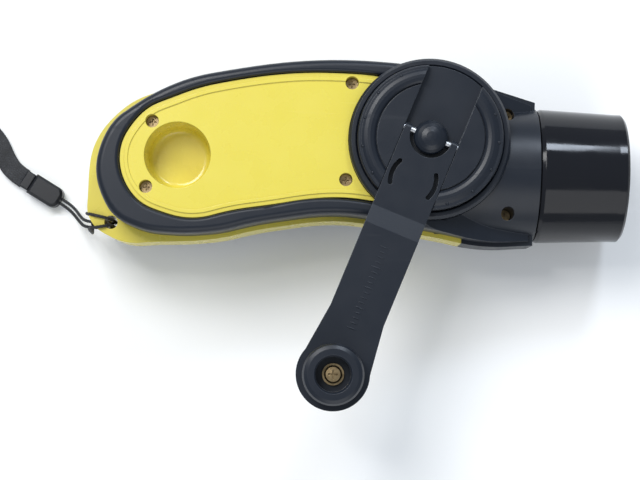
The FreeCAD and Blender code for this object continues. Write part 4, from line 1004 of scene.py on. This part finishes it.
def route_curve(name: str, points: list[Vector]) -> bpy.types.Curve:
    """A smooth open line with a route's points as its control points.

    Args:
        name: Name of the curve data.
        points: The route, in metres.

    Returns:
        The curve data, with no thickness.
    """
    curve = bpy.data.curves.new(name, "CURVE")
    curve.dimensions = "3D"
    curve.resolution_u = SMOOTH_SAMPLES
    spline = curve.splines.new("NURBS")
    spline.points.add(len(points) - 1)
    for place, point in zip(spline.points, points):
        place.co = (*point, 1.0)
    spline.order_u = 3
    spline.use_endpoint_u = True
    return curve


def line_of(curve: bpy.types.Curve, step: float) -> list[Vector]:
    """Evenly spaced points read from a curve.

    Args:
        curve: The curve data.
        step: Distance between points in metres.

    Returns:
        The points.
    """
    holder = bpy.data.objects.new("route_line", curve)
    bpy.context.scene.collection.objects.link(holder)
    bpy.context.view_layer.update()
    mesh = bpy.data.meshes.new_from_object(
        holder.evaluated_get(bpy.context.evaluated_depsgraph_get()))
    read = [vertex.co.copy() for vertex in mesh.vertices]
    bpy.data.meshes.remove(mesh)
    bpy.data.objects.remove(holder)
    bpy.data.curves.remove(curve)
    far = [0.0]
    for first, second in zip(read, read[1:]):
        far.append(far[-1] + (second - first).length)
    count = max(2, round(far[-1] / step))
    points = []
    at = 0
    for i in range(count + 1):
        want = far[-1] * i / count
        while at < len(far) - 2 and far[at + 1] < want:
            at += 1
        share = (want - far[at]) / max(far[at + 1] - far[at], 1e-12)
        points.append(read[at].lerp(read[at + 1], min(max(share, 0.0), 1.0)))
    return points


@dataclass
class Lanyard:
    """The string through the tail corner, its connector and the wrist strap. Sizes in metres."""

    surface: float = -22.3 * MM
    string_radius: float = 0.55 * MM
    string_length: float = 151.0 * MM
    string_lay: float = 3.0 * MM
    strands: int = 3
    string_sides: int = 18
    strap_width: float = 6.8 * MM
    strap_thickness: float = 1.1 * MM
    strap_length: float = 294.5 * MM
    loop_radius: float = 34.0 * MM
    part_radius: float = 20.0 * MM
    ribs: int = 9
    knit_pitch: float = 1.15 * MM
    knit_depth: float = 0.13 * MM
    knit_share: float = 0.55
    crown_power: float = 0.6
    edge_power: int = 8
    edge_least: float = 0.25
    columns: int = 30
    lean: float = 17.0
    layer_gap: float = 0.3 * MM
    loop_steps: int = 9
    loop_shift: Vector = field(default_factory=lambda: Vector((-6.0, 3.0, 0.0)) * MM)
    way_out: Vector = field(default_factory=lambda: Vector((-9.6, 4.6, 0.0)) * MM)
    way_back: Vector = field(default_factory=lambda: Vector((-12.4, -2.6, 0.0)) * MM)
    string_step: float = 0.16 * MM
    strap_step: float = 0.26 * MM
    strand_depth: float = 0.2
    loop_start: float = 0.19
    loop_share: float = 0.62
    nose: Vector = field(default_factory=lambda: Vector((-189.6, -10.9, -19.6)) * MM)
    nose_side: Vector = field(default_factory=lambda: Vector((0.504, 0.863, 0.0)))

    def build(self) -> None:
        """Builds the string and the strap, and dresses the connector."""
        dress(("connector_body", "connector_ferrule"))
        self.string()
        self.strap()

    def string_route(self) -> list[Vector]:
        """The string's route, from the connector through the hitch in the tail corner and back.

        Returns:
            Its points.
        """
        low = self.surface / MM
        inner = [
            (-186.6, -11.7, low + 2.5), (-184.0, -13.9, low + 4.2), (-182.0, -16.2, low + 8.0),
            (-179.8, -18.2, -10.4), (-175.4, -18.9, -9.0), (-168.3, -19.0, -9.0),
            (-168.1, -18.9, 0.2), (-168.3, -18.9, 9.0), (-176.5, -17.2, 9.0),
            (-176.9, -16.8, 1.0), (-177.1, -16.8, -6.6), (-177.2, -16.9, -11.6),
            (-176.9, -22.3, -11.6), (-176.4, -22.4, -6.6), (-175.9, -22.4, 1.0),
            (-175.5, -22.2, 9.0), (-168.3, -20.9, 9.0), (-168.1, -20.9, 0.2),
            (-168.3, -20.8, -9.0), (-175.4, -20.6, -9.0), (-179.9, -20.2, -11.0),
            (-182.4, -18.0, low + 6.0), (-184.8, -15.4, low + 2.2), (-187.4, -13.1, low + 1.6),
        ]
        apart = self.nose_side * 0.8 * MM
        return [self.nose + apart, *(Vector(point) * MM for point in inner), self.nose - apart]

    def string(self) -> None:
        """A laid string of three strands, which takes the plain one's place."""
        path = line_of(route_curve("string_route", self.string_route()), self.string_step)
        made = bmesh.new()
        side = (path[1] - path[0]).orthogonal().normalized()
        rings = []
        far = 0.0
        for i, place in enumerate(path):
            ahead = path[min(i + 1, len(path) - 1)] - path[max(i - 1, 0)]
            along = ahead.normalized()
            side = (side - along * side.dot(along)).normalized()
            other = along.cross(side)
            far += (place - path[max(i - 1, 0)]).length
            ring = []
            for step in range(self.string_sides):
                turn = 2 * math.pi * step / self.string_sides
                lobe = abs(math.cos(self.strands / 2 * (turn - 2 * math.pi * far / self.string_lay)))
                radius = self.string_radius * (1 - self.strand_depth + self.strand_depth * lobe)
                ring.append(place + (side * math.cos(turn) + other * math.sin(turn)) * radius)
            rings.append(ring)
        skin(made, rings)
        piece = new_piece("lanyard_laid_string", made, Body.GRIP, "lanyard_black")
        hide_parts("lanyard_string")

    def strap_route(self) -> list[Vector]:
        """The strap's route along the stem, round one wide loop and back on top of the stem.

        Returns:
            Its points.
        """
        stem = [(-202.61, -3.31), (-206.34, -1.12), (-209.4, 3.2), (-212.0, 9.0),
                (-216.4, 13.8), (-223.0, 16.6)]
        low = self.surface + self.strap_thickness / 2
        step = self.strap_thickness + self.layer_gap
        part = Vector((stem[-1][0] * MM, stem[-1][1] * MM, low))
        reach = self.loop_radius + self.part_radius
        away = math.sqrt(reach ** 2 - self.part_radius ** 2)
        first = math.asin(self.part_radius / reach)
        centre = part + Vector((-away, 0, 0)) + self.loop_shift
        points = [Vector((x * MM, y * MM, low)) for x, y in stem]
        points.append(part + self.way_out)
        for i in range(self.loop_steps + 1):
            turn = first + (2 * math.pi - 2 * first) * i / self.loop_steps
            out = Vector((math.cos(turn), math.sin(turn), 0)) * self.loop_radius
            lift = self.strap_width / 2 * math.sin(math.radians(self.lean_at(i / self.loop_steps)))
            points.append(centre + out + Vector((0, 0, abs(lift))))
        points.append(part + self.way_back + Vector((0, 0, step)))
        points += [Vector((x * MM, y * MM, low + step)) for x, y in stem[::-1]]
        return points

    def lean_at(self, share: float) -> float:
        """How far the strap leans over in its loop, in degrees, at a share of the loop's length."""
        return self.lean * math.sin(math.pi * min(max(share, 0.0), 1.0)) ** 2

    def strap(self) -> None:
        """A knitted flat strap with ribs, which takes the plain one's place."""
        path = line_of(route_curve("strap_route", self.strap_route()), self.strap_step)
        length = sum((b - a).length for a, b in zip(path, path[1:]))
        made = bmesh.new()
        rings = []
        far = 0.0
        for i, place in enumerate(path):
            along = (path[min(i + 1, len(path) - 1)] - path[max(i - 1, 0)]).normalized()
            side = Vector((along.y, -along.x, 0)).normalized()
            far += (place - path[max(i - 1, 0)]).length
            loop = (far / length - self.loop_start) / self.loop_share
            lean = math.radians(self.lean_at(loop))
            up = Vector((0, 0, 1)) * math.cos(lean) - side * math.sin(lean)
            side = side * math.cos(lean) + Vector((0, 0, 1)) * math.sin(lean)
            rings.append(self.strap_section(place, side, up, far))
        skin(made, rings)
        piece = new_piece("wrist_strap", made, Body.GRIP, "lanyard_black")
        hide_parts("lanyard_strap")

    def strap_section(self, place: Vector, side: Vector, up: Vector, far: float) -> list[Vector]:
        """One ring of points round the strap.

        Args:
            place: Its middle.
            side: Direction of the strap's width.
            up: Direction of its thickness.
            far: Distance along the strap.

        Returns:
            The ring.
        """
        half = self.strap_width / 2
        thick = self.strap_thickness / 2
        top = []
        bottom = []
        for i in range(self.columns + 1):
            share = i / self.columns
            across = (2 * share - 1) * half
            rib = share * self.ribs
            phase = 0.5 * (int(min(rib, self.ribs - 0.001)) % 2)
            crown = abs(math.sin(math.pi * rib)) ** self.crown_power
            knit = 0.5 + 0.5 * math.sin(2 * math.pi * (far / self.knit_pitch + phase))
            edge = math.sqrt(max(0.0, 1 - (2 * share - 1) ** self.edge_power))
            stitch = crown * (1 - self.knit_share + self.knit_share * knit)
            height = (thick - self.knit_depth * (1 - stitch)) * max(edge, self.edge_least)
            top.append(place + side * across + up * height)
            bottom.append(place + side * across - up * height)
        return top + bottom[::-1]


@dataclass(frozen=True)
class Softbox:
    """A square soft light, placed from the middle of the view. Metres and watts."""

    name: str
    place: tuple[float, float, float]
    size: float
    power: float
    colour: Colour = (1.0, 1.0, 1.0)

    def hang(self, aim: Vector) -> None:
        """Adds the light, turned to the middle of the view.

        Args:
            aim: The middle of the view.
        """
        lamp = bpy.data.lights.new(self.name, "AREA")
        lamp.shape = "SQUARE"
        lamp.size = self.size
        lamp.energy = self.power
        lamp.color = self.colour
        light = bpy.data.objects.new(self.name, lamp)
        bpy.context.scene.collection.objects.link(light)
        place = Vector(self.place)
        light.location = aim + place
        light.rotation_mode = "QUATERNION"
        light.rotation_quaternion = (-place).to_track_quat("-Z", "Y")


@dataclass
class Studio:
    """Pale floor, soft lights and the camera. Sizes in metres, angles in degrees."""

    floor_height: float = -22.35 * MM
    aim: Vector = field(default_factory=lambda: Vector((-99.4, -23.3, 0.0)) * MM)
    distance: float = 0.54
    tilt: float = 4.0
    roll: float = 1.6
    lens: float = 91.0
    sensor: float = 36.0
    near: float = 0.01
    paper: Colour = (0.96, 0.96, 0.96)
    paper_shade: float = 0.995
    paper_half: float = 6.0
    room_colour: Colour = (0.84, 0.92, 1.0)
    room_strength: float = 0.44
    softboxes: tuple[Softbox, ...] = (
        Softbox("key", (-0.4, 0.55, 0.9), 0.5, 8.0),
        Softbox("window", (0.24, 0.78, 0.7), 0.2, 3.2, (0.78, 0.87, 1.0)),
        Softbox("lamp", (-0.3, 0.27, 1.0), 0.1, 0.8),
        Softbox("fill", (0.2, -0.9, 0.75), 0.9, 4.0),
    )

    def build(self) -> None:
        """Builds the studio round the flashlight."""
        self.floor()
        self.sky()
        for softbox in self.softboxes:
            softbox.hang(self.aim)
        self.camera()
        colours = bpy.context.scene.view_settings
        colours.view_transform = "Standard"
        colours.look = "None"

    def floor(self) -> None:
        """A wide pale sheet of paper, faintly fibrous."""
        made = bmesh.new()
        bmesh.ops.create_grid(made, x_segments=8, y_segments=8, size=self.paper_half)
        bmesh.ops.translate(made, verts=made.verts, vec=(0, 0, self.floor_height))
        mesh = bpy.data.meshes.new("paper_floor")
        made.to_mesh(mesh)
        made.free()
        floor = bpy.data.objects.new("paper_floor", mesh)
        bpy.context.scene.collection.objects.link(floor)
        recipe = Recipe("paper_floor")
        fibre = recipe.noise(1.5, 3.0)
        tone = recipe.mixed(recipe.span(fibre, 0.3, 0.7, 0.0, 1.0), self.paper,
                            tuple(part * self.paper_shade for part in self.paper))
        mesh.materials.append(recipe.finish(Base_Color=tone, Roughness=0.9,
                                            Specular_IOR_Level=0.2))

    def sky(self) -> None:
        """Even light from all round."""
        world = bpy.data.worlds.new("soft_room")
        world.use_nodes = True
        background = world.node_tree.nodes["Background"]
        background.inputs["Color"].default_value = (*self.room_colour, 1.0)
        background.inputs["Strength"].default_value = self.room_strength
        bpy.context.scene.world = world

    def camera(self) -> None:
        """The camera nearly straight above, a little towards the belly, rolled as the photograph is."""
        lens = bpy.data.cameras.new("camera")
        lens.lens = self.lens
        lens.sensor_width = self.sensor
        lens.clip_start = self.near
        view = bpy.data.objects.new("camera", lens)
        bpy.context.scene.collection.objects.link(view)
        tilt = math.radians(self.tilt)
        roll = math.radians(self.roll)
        back = Vector((0, -math.sin(tilt), math.cos(tilt)))
        right = Vector((math.cos(roll), math.sin(roll), 0))
        right = (right - back * right.dot(back)).normalized()
        up = back.cross(right)
        turn = Matrix((right, up, back)).transposed().to_4x4()
        view.matrix_world = Matrix.Translation(self.aim + back * self.distance) @ turn
        bpy.context.scene.camera = view


def main() -> None:
    """Builds every part of the scene in order."""
    logging.basicConfig(level=logging.INFO, format="%(message)s")
    for part in (Studio(), Lanyard(), Head(), Neck(), Grip(), Crank(), Works()):
        log.info("building %s", type(part).__name__)
        part.build()


if __name__ == "__main__":
    main()
